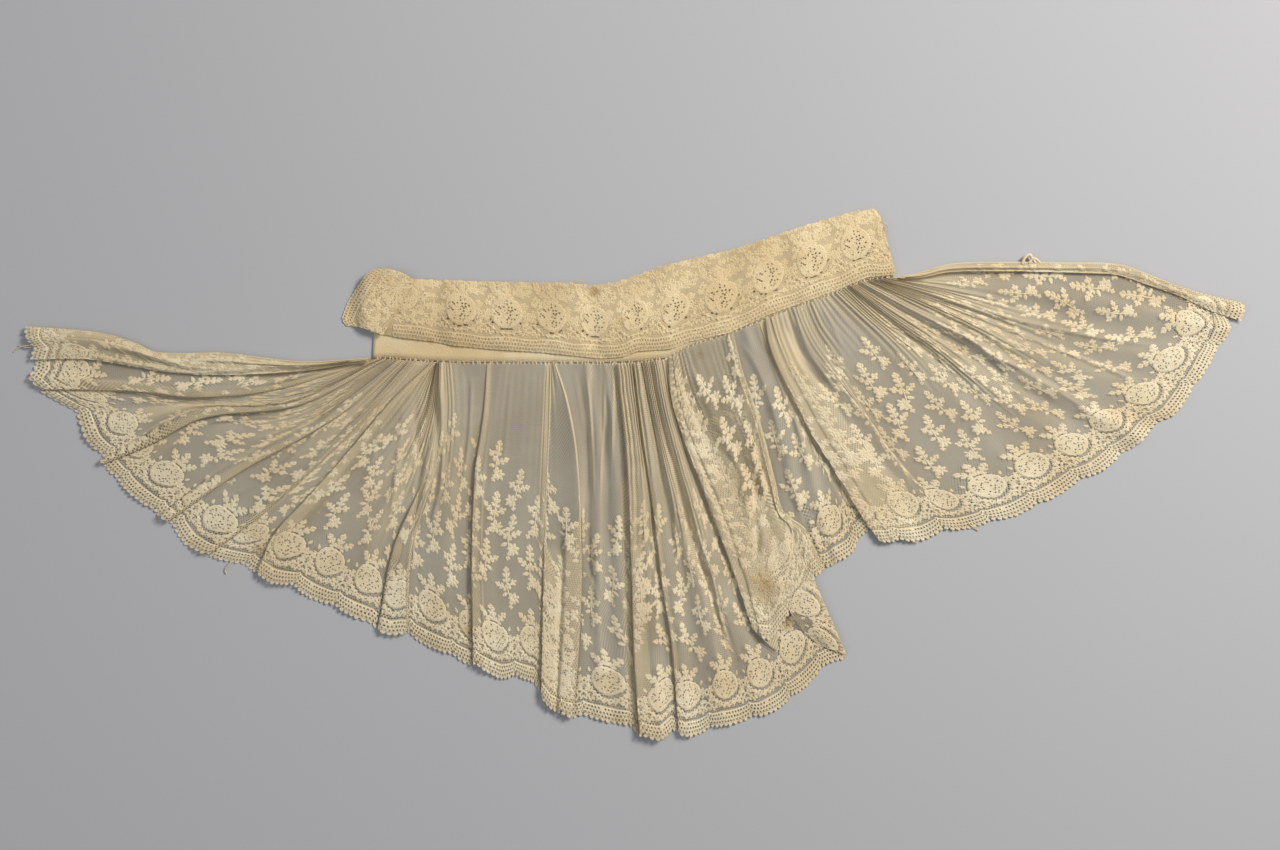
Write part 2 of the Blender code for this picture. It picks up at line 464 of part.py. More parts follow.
def main():
    """Build every piece of the jabot."""
    clear_scene()
    tape_cloth = cloth_material("tape cotton", IVORY, 0.85)
    band_lace = cloth_material("neckband lace", CREAM, 0.80)
    flounce_lace = cloth_material("flounce lace", CREAM, 0.80)
    doubled_lace = cloth_material("doubled flounce lace", BISCUIT, 0.82)

    make_tape(tape_cloth)
    make_neckband(band_lace)
    turned_end = cloth_grid(TURNED_END_FOLDS, TURNED_ROWS, TURNED_SPACING, carried=over_the_band)
    wall_object("neckband_turned_end", turned_end, band_lace)

    hem_step = HEM_SCALLOP / COLUMNS_PER_SCALLOP
    stretches = (
        ("flounce_left", LEFT_FOLDS, 4.0, flounce_lace),
        ("flounce_centre", CENTRE_FOLDS, 2.0, flounce_lace),
        ("flounce_cascade", CASCADE_FOLDS, 0.0, doubled_lace),
        ("flounce_under_panel", UNDER_FOLDS, 0.0, flounce_lace),
        ("flounce_right", RIGHT_FOLDS, 13.0, flounce_lace),
    )
    for name, folds, first_scallop, material in stretches:
        wall_object(name, cloth_grid(folds, ROWS, hem_step, HEM_SCALLOP_DEPTH, first_scallop), material)

    turned_edges = (
        ("flounce_turned_corner", CORNER_FOLDS, TURNED_ROWS, TURNED_SPACING),
        ("flounce_left_roll", LEFT_ROLL_FOLDS, LEFT_ROLL_ROWS, ROLL_SPACING),
        ("flounce_right_roll", RIGHT_ROLL_FOLDS, RIGHT_ROLL_ROWS, ROLL_SPACING),
    )
    for name, folds, rows, spacing in turned_edges:
        wall_object(name, cloth_grid(folds, rows, spacing), doubled_lace)


main()
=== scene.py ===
"""Looks of a lace jabot that lies flat: bobbin net, sprigs, scalloped border, neckband and tape.

Every stretch of lace is a surface worked out from a table of folds, in millimetres. The lace's pattern is
drawn in the flat lace's own measures, u along the hem and v up from it, and is then laid on the surfaces.
"""
import math
from collections import namedtuple

import bpy
import numpy as np
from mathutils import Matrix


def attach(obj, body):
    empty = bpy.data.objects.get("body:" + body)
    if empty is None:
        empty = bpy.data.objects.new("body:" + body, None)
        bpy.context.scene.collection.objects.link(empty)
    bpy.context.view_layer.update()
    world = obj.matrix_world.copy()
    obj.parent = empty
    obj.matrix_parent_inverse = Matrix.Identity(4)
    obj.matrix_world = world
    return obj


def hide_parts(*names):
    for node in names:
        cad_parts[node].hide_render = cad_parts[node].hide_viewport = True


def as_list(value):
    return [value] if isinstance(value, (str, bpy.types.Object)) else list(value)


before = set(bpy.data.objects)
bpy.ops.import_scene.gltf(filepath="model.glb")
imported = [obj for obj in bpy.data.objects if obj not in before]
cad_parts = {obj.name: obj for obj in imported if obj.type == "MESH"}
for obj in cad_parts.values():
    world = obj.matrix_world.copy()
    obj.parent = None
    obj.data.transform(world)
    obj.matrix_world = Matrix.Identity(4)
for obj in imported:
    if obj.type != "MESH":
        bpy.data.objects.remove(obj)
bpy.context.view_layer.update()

MM = 0.001
LIFT = 0.45               # middle of a single layer above what it lies on
CARRIED = 1.8             # underside of a layer that lies on another one
SEAM_GAP = 0.6
SEAM_RISE = 0.9           # height that the net is lifted to where it is sewn to the tape

# Flat lace
REPEAT = 27.0             # length of one hem scallop, with one disc on its middle
SCALLOP_DEPTH = 3.6
SCALLOP_MIDDLE = 0.6
DISC_HEIGHT = 22.5        # middle of the discs above the hem's middle line
DISC_RADIUS = 9.4         # along the hem
DISC_TALL = 0.91          # the discs' height over their width
BAND_DISC_RADIUS = 9.6
LADDER_DEPTH = 7.0        # edge band with its rows of holes
NET_PITCH = 1.5           # from hole to hole
SPRIG_ROWS = tuple(52.0 + 15.0 * row for row in range(9))
PLAIN_NET = 38.0          # bare net below the seam
CASCADE_PLAIN_NET = 12.0
BAND_PITCH = 1.3
HEM_CUT = -9.0            # below this height above the hem's middle line nothing is drawn
ALONE_ROOM = 20.0         # from a disc that lies by itself to the nearest sprig
CENTRE_LAST_DISC = 24
THREAD_STEPS, THREAD_SIDES = 14, 6

# Sampling and gathers
COLUMN_STEP = 0.95
ROWS = 84
GATHER_LENGTH = 5.2       # flat cloth in one gather
GATHER_LIMIT = 2.05       # half of a gather's greatest height
CREST_LIFT = 2.0          # least height of a tucked fold's edge

# Tucked folds and the cloth between them
TUCK_AT_SEAM = 0.35       # share of a tuck's width that is there at the seam
TUCK_OPENS = 0.1          # share of the path over which a tuck that starts lower down opens
TUCK_ROOM = 0.75          # greatest share of the way to the next fold that is tucked
CREST_ROOM = 0.95         # greatest share of it that the crest takes up
CREST_SHOULDER = 1.2      # the crest's width over the tuck's
LEAST_CREST = 3.0
LOWEST = 0.3              # least height of the cloth's middle
# Height above the hem where the lace begins to draw together, and over what run; the same below a lone disc
FREE_ABOVE, FREE_RUN = 30.0, 30.0
EVEN_FROM, EVEN_RUN = 8.0, 12.0
SOFT_EDGE = 1.5           # width over which the share of tucked cloth fades
HIDDEN_AWAY = 50.0        # added to the distance of cloth that doesn't show when a place is looked up

# Covering of the net, as a share of its holes' size
DOUBLED_COVER = 0.38      # where it lies double
TUCKED_COVER = 0.24       # where cloth is tucked under it
STEEP_COVER = 0.2         # on a gather's steep side

# Studio, in metres but for the floor
FLOOR_REACH = 2500.0      # millimetres from its middle to each side
FLOOR_GREY = (0.46, 0.465, 0.48, 1.0)
CAMERA_PLACE = (0.0036, 0.0288, 1.6)
PICTURE_WIDTH = 0.768
WORLD_COLOUR = (0.9, 0.93, 1.0, 1.0)
WORLD_STRENGTH = 0.2
# Name, place, size, power and colour
LIGHTS = (
    ("key", (1.1, 0.85, 1.15), 0.6, 34.0, (1.0, 0.965, 0.91)),
    ("fill", (-1.2, -0.3, 1.9), 1.8, 10.5, (0.95, 0.97, 1.0)),
)

SEAM_LINE = (
    (-160, 69), (-150, 69.2), (-122, 67.2), (-100, 66.4), (-20, 66.2), (5, 67),
    (20, 69.2), (31, 75.4), (45, 80.2), (57, 83.8), (70, 89.2), (80, 93.2),
    (95, 99.2), (117, 106.8), (128, 112.2), (140, 116.4), (157, 118.2),
)
NECK_LINE = (
    (-157, 116), (-131, 116.4), (-100, 115.4), (-70, 114.6), (-40, 114.4),
    (-26, 112.8), (-10, 114.6), (4, 119.8), (15, 123.8), (40, 130), (60, 134.4),
    (80, 141.2), (100, 147.8), (120, 153.8), (132, 157), (144, 158.6), (148, 154),
)
LACE_LINE = (
    (-156, 84), (-139, 81.2), (-121, 79), (-107, 76.4), (-87, 74.4),
    (-53, 72.2), (-19, 68.6), (-6, 69.8), (2, 73), (22, 74.4), (34, 79),
    (57, 84), (80, 94.6), (117, 108), (140, 117.4), (157, 119),
)

# path: points from the seam to the hem; rise: height at seam, middle and hem; gather: height of the gathers;
# tuck: width of cloth folded under there at the hem; faces: 1 where the fold's edge faces the next fold, -1
# where it faces the one before; start: share of the path above which the tuck isn't there yet
Fold = namedtuple("Fold", "path rise gather tuck faces start", defaults=(0, 0, 0, 0))
FLAT = (0, 0, 0)          # the rise of a fold that lies flat
# A crease: its path, its height (below 0 for a trough) and its half width
Crease = namedtuple("Crease", "path height width")
# A disc of the border that shows: its middle, and its number along the flat lace
Disc = namedtuple("Disc", "x y number")


def rows_of(kind, rows):
    """The rows of a table as named values of one kind."""
    return tuple(kind(*row) for row in rows)


def seam(x):
    """The point on the gathered seam at the place x."""
    xs, ys = zip(*SEAM_LINE)
    return (x, float(np.interp(x, xs, ys)) - SEAM_GAP)


def folds_of(rows):
    """The folds of a table; a path that starts with a bare x starts there on the seam."""
    return tuple(
        fold if isinstance(fold.path[0], tuple) else fold._replace(path=(seam(fold.path[0]), *fold.path[1:]))
        for fold in rows_of(Fold, rows)
    )


LEFT_FOLDS = folds_of((
    ((-157, (-230, 65), (-296, 71), (-356, 79)), FLAT, 0.4),
    ((-155, (-222, 56), (-290, 56), (-357, 63)), (0, 0.2, 0), 0.6),
    ((-153, (-215, 50), (-262, 45.5), (-300, 49), (-355, 50)), (0.2, 3.2, 2), 0.8, 8, 1),
    ((-151, (-208, 45), (-275, 41), (-333, 36)), (0.4, 0, 0), 1.5),
    ((-150, (-206, 43), (-270, 39), (-326, 20)), (1.4, 1.2, 1), 1.5),
    ((-149, (-204, 42), (-265, 37), (-317, 9)), (0.8, 0.2, 0), 1.5),
    ((-147.5, (-200, 41), (-258, 33), (-290, 17), (-316.5, 6)), (3, 4, 3), 1.5, 7.5, 1),
    ((-146, (-197, 38), (-258, 25), (-309, -4)), (0.6, 0, 0), 1.5),
    ((-143.5, (-192, 35), (-252, 12), (-297, -14)), (1.8, 1.4, 1.2), 1.5),
    ((-141, (-187, 34), (-244, 4), (-284, -25)), (0.4, 0, 0), 1.5),
    ((-138, (-179, 33), (-237, 0), (-278.5, -28.5)), (3.6, 4.6, 3.2), 1.5, 6.5, 1),
    ((-134, (-172, 29), (-226, -10), (-268, -41)), (0.4, 0, 0), 1.5),
    ((-131, (-167, 27), (-215, -18), (-254, -48.5)), (2.2, 2, 1.2), 1.5, 4, 1),
    ((-126, (-158, 28), (-205, -22), (-237, -53)), FLAT, 0.9),
    ((-119, (-148, 24), (-192, -28), (-219, -61)), FLAT, 0.7),
))
LEFT_DISCS = rows_of(Disc, (
    (-331, 58, 0), (-305, 30, 2), (-278, 2, 4), (-247, -25, 6), (-229, -32, 7),
))
LEFT_CREASES = rows_of(Crease, (
    (((-165, 57), (-200, 47), (-240, 43.5), (-285, 41)), -1, 2),
    (((-150, 56), (-180, 36), (-200, 14), (-225, -6), (-252, -18)), 1.6, 1.6),
    (((-150, 62), (-190, 48), (-240, 34), (-270, 28)), 1.2, 1.6),
    (((-145, 58), (-175, 40), (-215, 27), (-255, 20)), -0.9, 2.4),
    (((-135, 57), (-160, 38), (-185, 12), (-212, -14), (-238, -22)), 1, 1.5),
    (((-158, 64), (-205, 57), (-250, 54), (-300, 53)), 0.9, 1.5),
))

CENTRE_FOLDS = folds_of((
    ((-121, (-143, 45.5), (-172, 11.5), (-199, -18.5), (-215, -36), (-226, -59)),
     (CARRIED + 1.2, CARRIED + 1.2, CARRIED + 0.9), 0.8, 9, -1),
    ((-120, (-138, 43), (-166, 7), (-193, -23), (-208, -42), (-216, -64)),
     (CARRIED + 0.9, CARRIED + 0.8, CARRIED + 0.4), 0.8),
    ((-119, (-132, 40), (-158, 2), (-186, -30), (-206, -66)), (CARRIED, CARRIED, CARRIED), 0.8),
    ((-118.4, (-127, 36), (-149, -4), (-175, -40), (-193, -73)), (0.4, 0, 0), 0.9),
    ((-117.8, (-123, 36), (-140, -6), (-160, -45), (-175, -81)), (1.4, 1.6, 1), 0.9),
    ((-117.2, (-120, 36), (-132, -6), (-149, -45), (-158, -88)), (0.4, 0, 0), 0.9),
    ((-116.6, (-118, 36), (-127, -5), (-144, -45), (-153, -93)), (1.8, 2.2, 2.2), 0.9, 5, -1, 0.45),
    ((-115.6, (-116, 36), (-121, -3), (-133, -45), (-136, -95)), (1.8, 2.8, 2.4), 0.6, 2, 1, 0.45),
    ((-114.4, (-113.5, 36), (-117, -2), (-127, -45), (-131, -98)), (0.2, 0, 0), 0.5),
    ((-109, (-107, 36), (-109, 0), (-115, -50), (-118, -104)), (1, 1.4, 0.8), 0.25),
    ((-100, (-98, 40), (-101, 5), (-106, -50), (-106, -110)), (0.2, 0, 0), 0.2),
    ((-88, (-90, 36), (-95, 0), (-97, -50), (-96, -114)), (0.8, 3.4, 3.2), 0.25, 6, -1),
    ((-79, (-84, 34), (-89, -5), (-91, -55), (-87, -118)), (1, 1.6, 1.4), 0.25),
    ((-73, (-76, 30), (-80, -10), (-82, -60), (-79, -121.5)), (0.4, 0.2, 0.2), 0.25),
    ((-63, (-65, 30), (-68, -10), (-70, -60), (-69, -121)), (0.2, 0.6, 0.4), 0.25),
    ((-53, (-55, 30), (-57, -10), (-60, -60), (-60, -123)), FLAT, 0.4),
    ((-50.5, (-51.5, 30), (-53, -10), (-54, -60), (-55.5, -132)), (0.4, 1, 3), 0.5, 8, -1, 0.53),
    ((-48.5, (-46, 32), (-44, -10), (-43, -60), (-46, -142)), (0.8, 1, 1.4), 0.5),
    ((-47, (-40, 44), (-34.5, 14), (-32, -30), (-32, -80), (-36, -145)), (2, 3.8, 3.4), 0.5, 8, 1, 0.42),
    ((-33, (-28.5, 34), (-26.5, 4), (-28.5, -30), (-27, -70), (-27, -145)), (0.2, 0, 0), 0.9),
    ((-28, (-23, 32), (-22, 0), (-22, -40), (-20, -146)), (2, 2.6, 1), 1),
    ((-22, (-17, 32), (-16.5, 0), (-15.5, -50), (-12, -148)), (0.2, 0, 0), 1),
    ((-16, (-13, 32), (-11, 0), (-9, -50), (-7, -149)), (2.4, 1.6, 0.6), 1),
    ((-12.5, (-9.5, 32), (-7.5, 0), (-5.5, -50), (-3, -150)), (0.2, 0, 0), 1),
    ((-10, (-6.5, 32), (-3.5, 0), (-1.5, -55), (0, -105), (3.5, -157.2)), (3, 4.6, 4), 1, 11, -1),
    ((-2, (3, 25), (9, -20), (14, -65), (19, -105), (23, -152)), (0.2, 0, 0), 1),
    ((0, (5, 25), (11.5, -20), (17, -65), (23, -105), (27, -155)), (2.6, 3, 2.6), 1, 3.6, -1),
    ((4, (12, 25), (20, -18), (28, -60), (34, -105), (39.5, -154.5)), (0.4, 0.2, 0), 1),
    ((6.5, (13.5, 30), (25, -12), (34, -48), (46, -95), (53, -149.5)), (2.6, 3.4, 1.4), 1),
    ((9, (16.5, 30), (28.5, -12), (38.5, -48), (52, -90), (64, -147.5)), (0.3, 0, 0), 1),
    ((13, (20, 32), (33, -12), (44.5, -48), (58, -92), (77, -144)), (2.4, 2.6, 0.8), 0.9),
    ((18, (24.5, 36), (39, -8), (55, -48), (68, -88), (90, -137)), FLAT, 0.7),
    ((22, (33, 34), (50, -5), (74, -50), (90, -85), (105, -123.5)), FLAT, 0.4),
    ((27, (40, 34), (60, -2), (86, -42), (101, -68), (117, -112)), FLAT, 0.4),
    ((28.5, (43, 34), (64, -3), (90, -40), (107, -65), (126.5, -108.5)), FLAT, 0.4),
))
CENTRE_DISCS = rows_of(Disc, (
    (-209, -41, 8), (-182, -52, 9), (-159, -60, 10), (-144, -68, 11), (-120, -77, 12),
    (-82, -94, 14), (-61, -98, 15), (-16, -125, 18), (13, -130, 20), (32, -130, 21),
    (54, -125, 22), (75, -118, 23), (93, -103, 24),
))
CENTRE_CREASES = rows_of(Crease, (
    (((-116, 58), (-114.5, 25), (-116, -8), (-123, -34)), 2, 1.3),
    (((-119, 50), (-118, 20), (-119.5, -8), (-126, -34)), -1.2, 1.6),
    (((-97, 60), (-99, 20), (-103.5, -10)), 1.4, 1.2),
    (((-137, 44), (-140, 20), (-143, -6), (-147, -30)), 1.2, 1.5),
    (((-150, 30), (-156, 10), (-164, -10)), 1, 1.4),
    (((-130, 55), (-131, 30), (-128, 5), (-131, -25), (-131, -80)), -1.4, 2),
    (((-57, -49), (-50, -48.5), (-45, -48), (-38, -42)), 1.4, 1.1),
    (((-28.5, 30), (-27.5, 0), (-29, -30), (-25, -62), (-19, -84)), -1.2, 1.8),
    (((-30, -58), (-25, -66), (-20, -80)), 1.3, 0.9),
    (((-19, 40), (-17, 0), (-16.5, -45), (-14, -95)), -1.4, 2.2),
    (((3, 22), (8.5, -12), (11, -45), (13, -90)), 1.3, 0.9),
    (((24, 22), (28, -8), (33, -38), (38, -62)), -1.3, 1.7),
    (((31, -10), (38, -36), (46, -60), (52, -86), (58, -106)), 1.7, 1),
    (((15, 20), (22, -10), (25, -34), (27, -60)), 1.2, 1),
    (((-74, 58), (-76, 30), (-79, 0)), 0.8, 1.4),
    (((-29, 62), (-26, 34), (-24.5, 4), (-24, -20)), 1.8, 0.9),
    (((-18, 62), (-17.8, 34), (-19.5, 6), (-20, -14)), 1.7, 0.9),
    (((-36, 62), (-32.5, 40), (-30.5, 24)), 1.3, 0.8),
    (((-12, 60), (-12.6, 32), (-13, 5)), 1.5, 0.8),
))

CASCADE_FOLDS = folds_of((
    ((21, (22.5, 45), (31, 18), (46, -22), (60.6, -62), (71, -93)),
     (CARRIED + 1.2, CARRIED + 1.4, CARRIED + 1), 0.3, 22, -1),
    ((23, (26.5, 46), (36, 18), (53, -22), (66, -60), (76, -97.5)), (3.4, 3.8, 3.2), 0.4),
    ((26, (31.5, 47), (44, 17), (63, -20), (71.5, -45), (81.5, -98)), (3, 2.8, 2.6), 0.4),
    ((30, (38, 49), (53, 19), (70, -16), (81, -50), (88, -88.5)), (3.6, 4.2, 3.4), 0.4),
    ((33, (42, 51), (57, 21), (73.5, -13), (87, -48), (94, -83.5)), (3, 2.8, 2.6), 0.35),
    ((42, (50, 56), (63, 26), (77, -9), (92, -45), (100, -77.5)), (3.2, 3.4, 2.8), 0.35),
    ((52, (58, 58), (69, 28), (80.5, -6), (95, -38), (105.5, -67)), (2.6, 2.6, 2.4), 0.35),
    ((57, (62.5, 60), (73, 30), (82, -6), (87, -25), (100, -35), (110.5, -59)), (3.8, 4.2, 3), 0.5),
    ((59, (65, 60.5), (75.5, 30), (84.5, -5), (89.5, -23.5), (102, -33), (113, -56.5)),
     (3.4, 3.6, 3), 0.3, 6, 1),
))
CASCADE_DISCS = (Disc(87, -51, 25),)
CASCADE_CREASES = rows_of(Crease, (
    (((33, 66), (46, 40), (56, 18), (66, -4)), 1, 2),
    (((70, 10), (73, -20), (74, -40), (75, -60)), -1.3, 1.9),
    (((66, 58), (73, 34), (79, 12), (83, -10)), 1, 1.4),
    (((62, 0), (68, -22), (70, -44)), 0.9, 1.8),
    (((24, 50), (34, 16), (48, -20), (58, -50)), 0.8, 2.2),
))

# The corner where the hem is rolled under along a straight edge; its folds run out to that edge
CORNER_FOLDS = folds_of((
    (((111.5, -103.5), (119, -105.8), (127.2, -108.4)), (0.6, 1.8, 2)),
    (((103, -96), (113, -97.2), (122.9, -98.6)), (1.4, 2.8, 2.6)),
    (((96.5, -88), (108, -87.8), (118.5, -88)), (3, 3.4, 2.6)),
    (((92.5, -81), (104, -79), (114, -78)), (3.4, 3.6, 2.8)),
    (((96, -72), (104, -70.6), (110.4, -69.8)), (3.6, 3.6, 2.8)),
    (((102.5, -64), (105.6, -64.6), (108.3, -65)), (3.6, 3.6, 3)),
))
CORNER_ROLLED = 10.7      # width of the border that is rolled under there
CORNER_DISC = 34          # from the corner's lower end to the disc that shows

UNDER_FOLDS = folds_of((
    ((30.5, (42, 35), (56, 2), (72, -32), (82, -52)), FLAT, 0),
    ((48, (58, 45), (72, 5), (86, -30), (98, -56)), FLAT, 0),
    ((60.5, (73, 50), (86, 10), (95, -22), (111, -58)), FLAT, 0),
    ((66, (80, 51), (91.5, 10), (98.5, -18), (116, -56)), (1.8, 2.2, 0), 0.6),
    ((71, (87, 50), (97.5, 14), (102.5, -14), (118, -54.5)), (0.2, 0, 0), 0.5),
    ((74, (91, 46), (103, 10), (109, -16), (121.5, -51)), (0.2, 1.6, 1.2), 0.4),
    ((76.5, (95, 44), (110, 6), (118.5, -18), (130.5, -46)), (0.2, 0, 0), 0.3),
    ((78.5, (99, 43), (117, 5), (128, -17), (138, -34)), FLAT, 0.3),
    ((81, (104, 43), (123, 5), (135, -15), (145.5, -27)), FLAT, 0.3),
))
UNDER_DISCS = (Disc(115.5, -24, 27),)
UNDER_CREASES = rows_of(Crease, (
    (((62, 80), (72, 66), (80, 48), (88, 20)), 1.2, 1.4),
    (((74, 80), (84, 66), (92, 45), (97, 20), (99, -10)), -1, 1.6),
    (((101, -20), (104, -34), (110, -50)), -0.6, 1.4),
))

RIGHT_FOLDS = folds_of((
    ((79, (81, 78), (87, 62), (96, 44), (106.5, 23.5), (119, 3.5), (136, -25), (146.5, -39.6)),
     (2.8, 3, 2.6), 0.3, 24, -1),
    ((82, (86, 80), (93, 63), (103, 44), (115, 22), (128, 2), (144, -24.5), (154.5, -40)),
     (3, 3.2, 2.8), 0.4),
    ((87.5, (91, 84), (98.5, 66), (110, 47), (124, 24), (138, 4), (154, -21.5), (164, -39.4)),
     (2.6, 2.8, 2.2), 0.4),
    ((91.5, (95, 86), (101, 71), (114, 54), (133, 31), (151, 5), (175, -37.5)), (0.8, 0.8, 0.4), 0.6),
    ((96, (100, 88), (107, 74), (121, 57), (140, 33), (159, 5), (185, -33.5)), (2.6, 1.6, 0.8), 0.6),
    ((102, (108, 86), (118, 70), (135, 43), (155, 12), (197, -32)), (0.2, 0, 0), 0.5),
    ((108, (115, 88), (127, 72), (145, 46), (169, 12), (213, -28.5)), (1.4, 0.9, 0.5), 0.5),
    ((116, (128, 93), (143, 77), (166, 48), (192, 15), (229, -23.5)), (0.2, 0, 0), 0.6),
    ((122, (136, 96), (154, 80), (181, 52), (210, 20), (247, -15.5)), (1.5, 0.9, 0.5), 0.7),
    ((127, (149, 91), (172.5, 74.5), (192, 57), (223, 28), (262, -6)), (0.2, 0, 0), 0.9),
    ((130, (154, 94.5), (178, 78), (201, 61), (236, 35), (278, 2)), (1.8, 1.2, 0.6), 0.8),
    ((133, (158, 97.5), (183, 82.5), (208, 67), (246, 42), (293, 12.5)), (0.2, 0, 0), 0.8),
    ((136, (161, 100.5), (188, 86.5), (214, 72), (251, 49), (303, 21)), (2.4, 2.4, 2), 0.8),
    ((139, (165, 102.5), (195, 88), (232, 66.5), (262, 49), (309, 27.5)), (0.2, 0, 0), 0.8),
    ((142, (170, 104), (203, 89), (245, 68), (283, 51), (322, 35.5)), (1.6, 1.2, 0.8), 0.8),
    ((145, (175, 106), (209, 93.5), (252, 78), (298, 63), (338, 56)), (0.2, 0, 0), 0.8),
    ((148, (180, 109), (213, 98.5), (256, 86), (305, 74), (345, 70)), (2, 1.4, 0.8), 0.8),
    ((151, (183, 111), (217, 104), (260, 94.5), (312, 84.5), (353, 80)), (0.2, 0, 0), 0.9),
    ((153.5, (186, 114.5), (220, 110.5), (264, 103.5), (317, 93.5), (355.5, 87)), (0.2, 1.6, 1), 0.7),
    ((155, (186, 119), (222, 117.5), (268, 112), (320, 101), (354.5, 93)), FLAT, 0.5),
    ((156, (170, 117.5), (186, 122), (210, 124), (262, 123.5), (296, 119.5), (330, 107),
     (354, 97)), FLAT, 0.3),
))
RIGHT_DISCS = rows_of(Disc, (
    (161, -17, 29), (184, -13, 30), (212, -6, 31), (238, 6, 32), (262, 18, 33),
    (283, 32, 34), (303, 49, 35), (319, 70, 36), (333, 92, 37), (336, 106, 37.7),
))
RIGHT_CREASES = rows_of(Crease, (
    (((90, 92), (95, 80), (101, 67), (110, 56), (118, 44)), -1.4, 1.5),
    (((96, 94), (99, 86), (104, 74), (112, 62), (122, 48)), 1.6, 1.3),
    (((104, 98), (110, 84), (117, 72), (122, 58)), -1, 1.4),
    (((112, 100), (120, 86), (124, 76)), 1, 1.2),
    (((134, 108), (160, 86), (176, 73), (190, 57)), -1.1, 1.5),
    (((140, 108), (165, 91), (190, 74), (206, 62)), 1.4, 1.2),
    (((150, 110), (180, 95), (202, 80), (216, 69), (240, 61)), 1.6, 1.2),
    (((210, 72), (220, 58), (232, 38)), -0.9, 2),
    (((160, 112), (200, 100), (245, 88), (285, 80), (318, 76)), 1.2, 1.3),
    (((170, 108), (215, 90), (250, 76), (290, 60), (312, 48)), 1, 1.3),
    (((150, 105), (190, 86), (225, 66), (262, 44), (286, 26)), 1, 1.4),
))

LEFT_ROLL_FOLDS = folds_of((
    (((-159, 68.8), (-200, 66.8), (-245, 71.8), (-286, 72.4), (-300, 78.4), (-320, 84), (-362.5, 87.8)),
     (2.4, 2.6, 2.2), 1.6, 5, -1),
    (((-159, 68.2), (-200, 64.8), (-245, 68), (-284, 68.6), (-300, 74), (-322, 79.5), (-364.2, 81.5)),
     (3.4, 4, 3.6), 1.6),
    (((-159, 67.6), (-200, 62.8), (-245, 62.5), (-282, 64.4), (-302, 69), (-326, 73.5), (-357, 75)),
     (3, 3, 2.6), 1.6),
    (((-159, 67), (-200, 61), (-245, 58.8), (-282, 60.8), (-304, 64.8), (-330, 68.4), (-359.5, 68)),
     (2.4, CARRIED, CARRIED), 1.6),
))
LEFT_ROLL_CREASES = rows_of(Crease, (
    (((-170, 65), (-215, 63), (-262, 63), (-300, 73), (-330, 77)), 1, 1.2),
    (((-168, 66), (-215, 66), (-262, 67), (-298, 74)), -0.8, 1.1),
    (((-250, 70), (-285, 70), (-312, 80)), 0.8, 1),
    (((-230, 61), (-270, 60.5), (-302, 66), (-330, 71)), 0.9, 1),
))
RIGHT_ROLL_FOLDS = folds_of((
    (((159.5, 116.6), (172, 117), (188, 120.2), (207, 120.8), (258, 120.2), (290, 118.6), (310, 112),
     (328, 105.8), (345, 97.5), (361.5, 92)), (1.2, 1.2, 1.2), 1.3),
    (((159, 117.1), (171, 118.4), (187, 122.4), (206, 123.6), (258, 123), (290, 121.8), (311, 114.8),
     (329, 108.4), (348, 101.5), (364.2, 97.4)), (2.2, 2.4, 2.2), 1.3),
    (((158.5, 117.6), (170, 119.8), (186, 124.6), (205, 126.3), (258, 126), (290, 125), (312, 117.4),
     (330, 110.6), (350, 105), (364, 102)), (2.2, 2.4, 2.2), 1.3, 2, 1),
))
TURNED_END_FOLDS = folds_of((
    (((-131.5, 116), (-138, 119.6), (-146, 122), (-155, 122.4)), FLAT),
    (((-133, 111.6), (-143, 114.4), (-152, 117), (-160.6, 118.6)), FLAT),
    (((-136.5, 106), (-147, 107.4), (-157, 109), (-166.4, 110.4)), FLAT),
    (((-141.5, 98), (-153, 98.5), (-163, 100), (-171.6, 103)), FLAT),
    (((-146, 90), (-158, 91), (-167, 91.4), (-175.4, 92.6)), FLAT),
    (((-150, 82.6), (-157, 85), (-165, 87.6), (-173, 88.4)), FLAT),
))
TAPE_THICK = 1.2
LACE_UNDERSIDE = TAPE_THICK + 0.35
LACE_MIDDLE = 1           # middle of the band's lace above its underside
TAPE_INSET = 1.2
TAPE_END = -157           # left end of the tape, which the turned end hangs over
DROP_LENGTH = 14
BAND_LEFT = (-158, -155.5)  # the band's left end at its lower and its neck edge
BAND_RIGHT = (157, 147.5)
BAND_DISCS = rows_of(Disc, (
    (-104.7, 98.7, 0), (-76, 95.4, 1), (-49, 94, 2), (-24, 92, 3), (-0.6, 97, 4),
    (22.8, 102.5, 5), (51, 111.8, 6), (79, 120, 7), (106, 128, 8), (133, 135, 9),
))
# Creases across the neckband: where they cross it, how far they lean to the neck edge, depth, width
Pucker = namedtuple("Pucker", "x lean depth width")
PUCKERS = rows_of(Pucker, (
    (-118, 1, 0.9, 5), (-90, -3, 0.5, 8), (-58, 2, 0.4, 9),
    (-22, -5, 1.1, 6), (8, 4, 0.6, 7), (36, -6, 0.5, 8),
    (64, -8, 0.9, 6), (94, -8, 0.8, 6), (122, -8, 0.5, 8),
))
PUCKER_CROWN = 0.9
END_DISC = (-138.3, 106.5)  # disc on the doubled left end
TURNED_END_START = 246.0  # flat place of the turned end's first column
TAPE_UNDERSIDE = 0.06
STITCH_STEP = 2.4
# A strip of close leaves on the centre's doubled stretch: its two sides at the height y, and its top
STRIP_SIDES, STRIP_Y, STRIP_TOP = (-54, -37), -125, 72.0

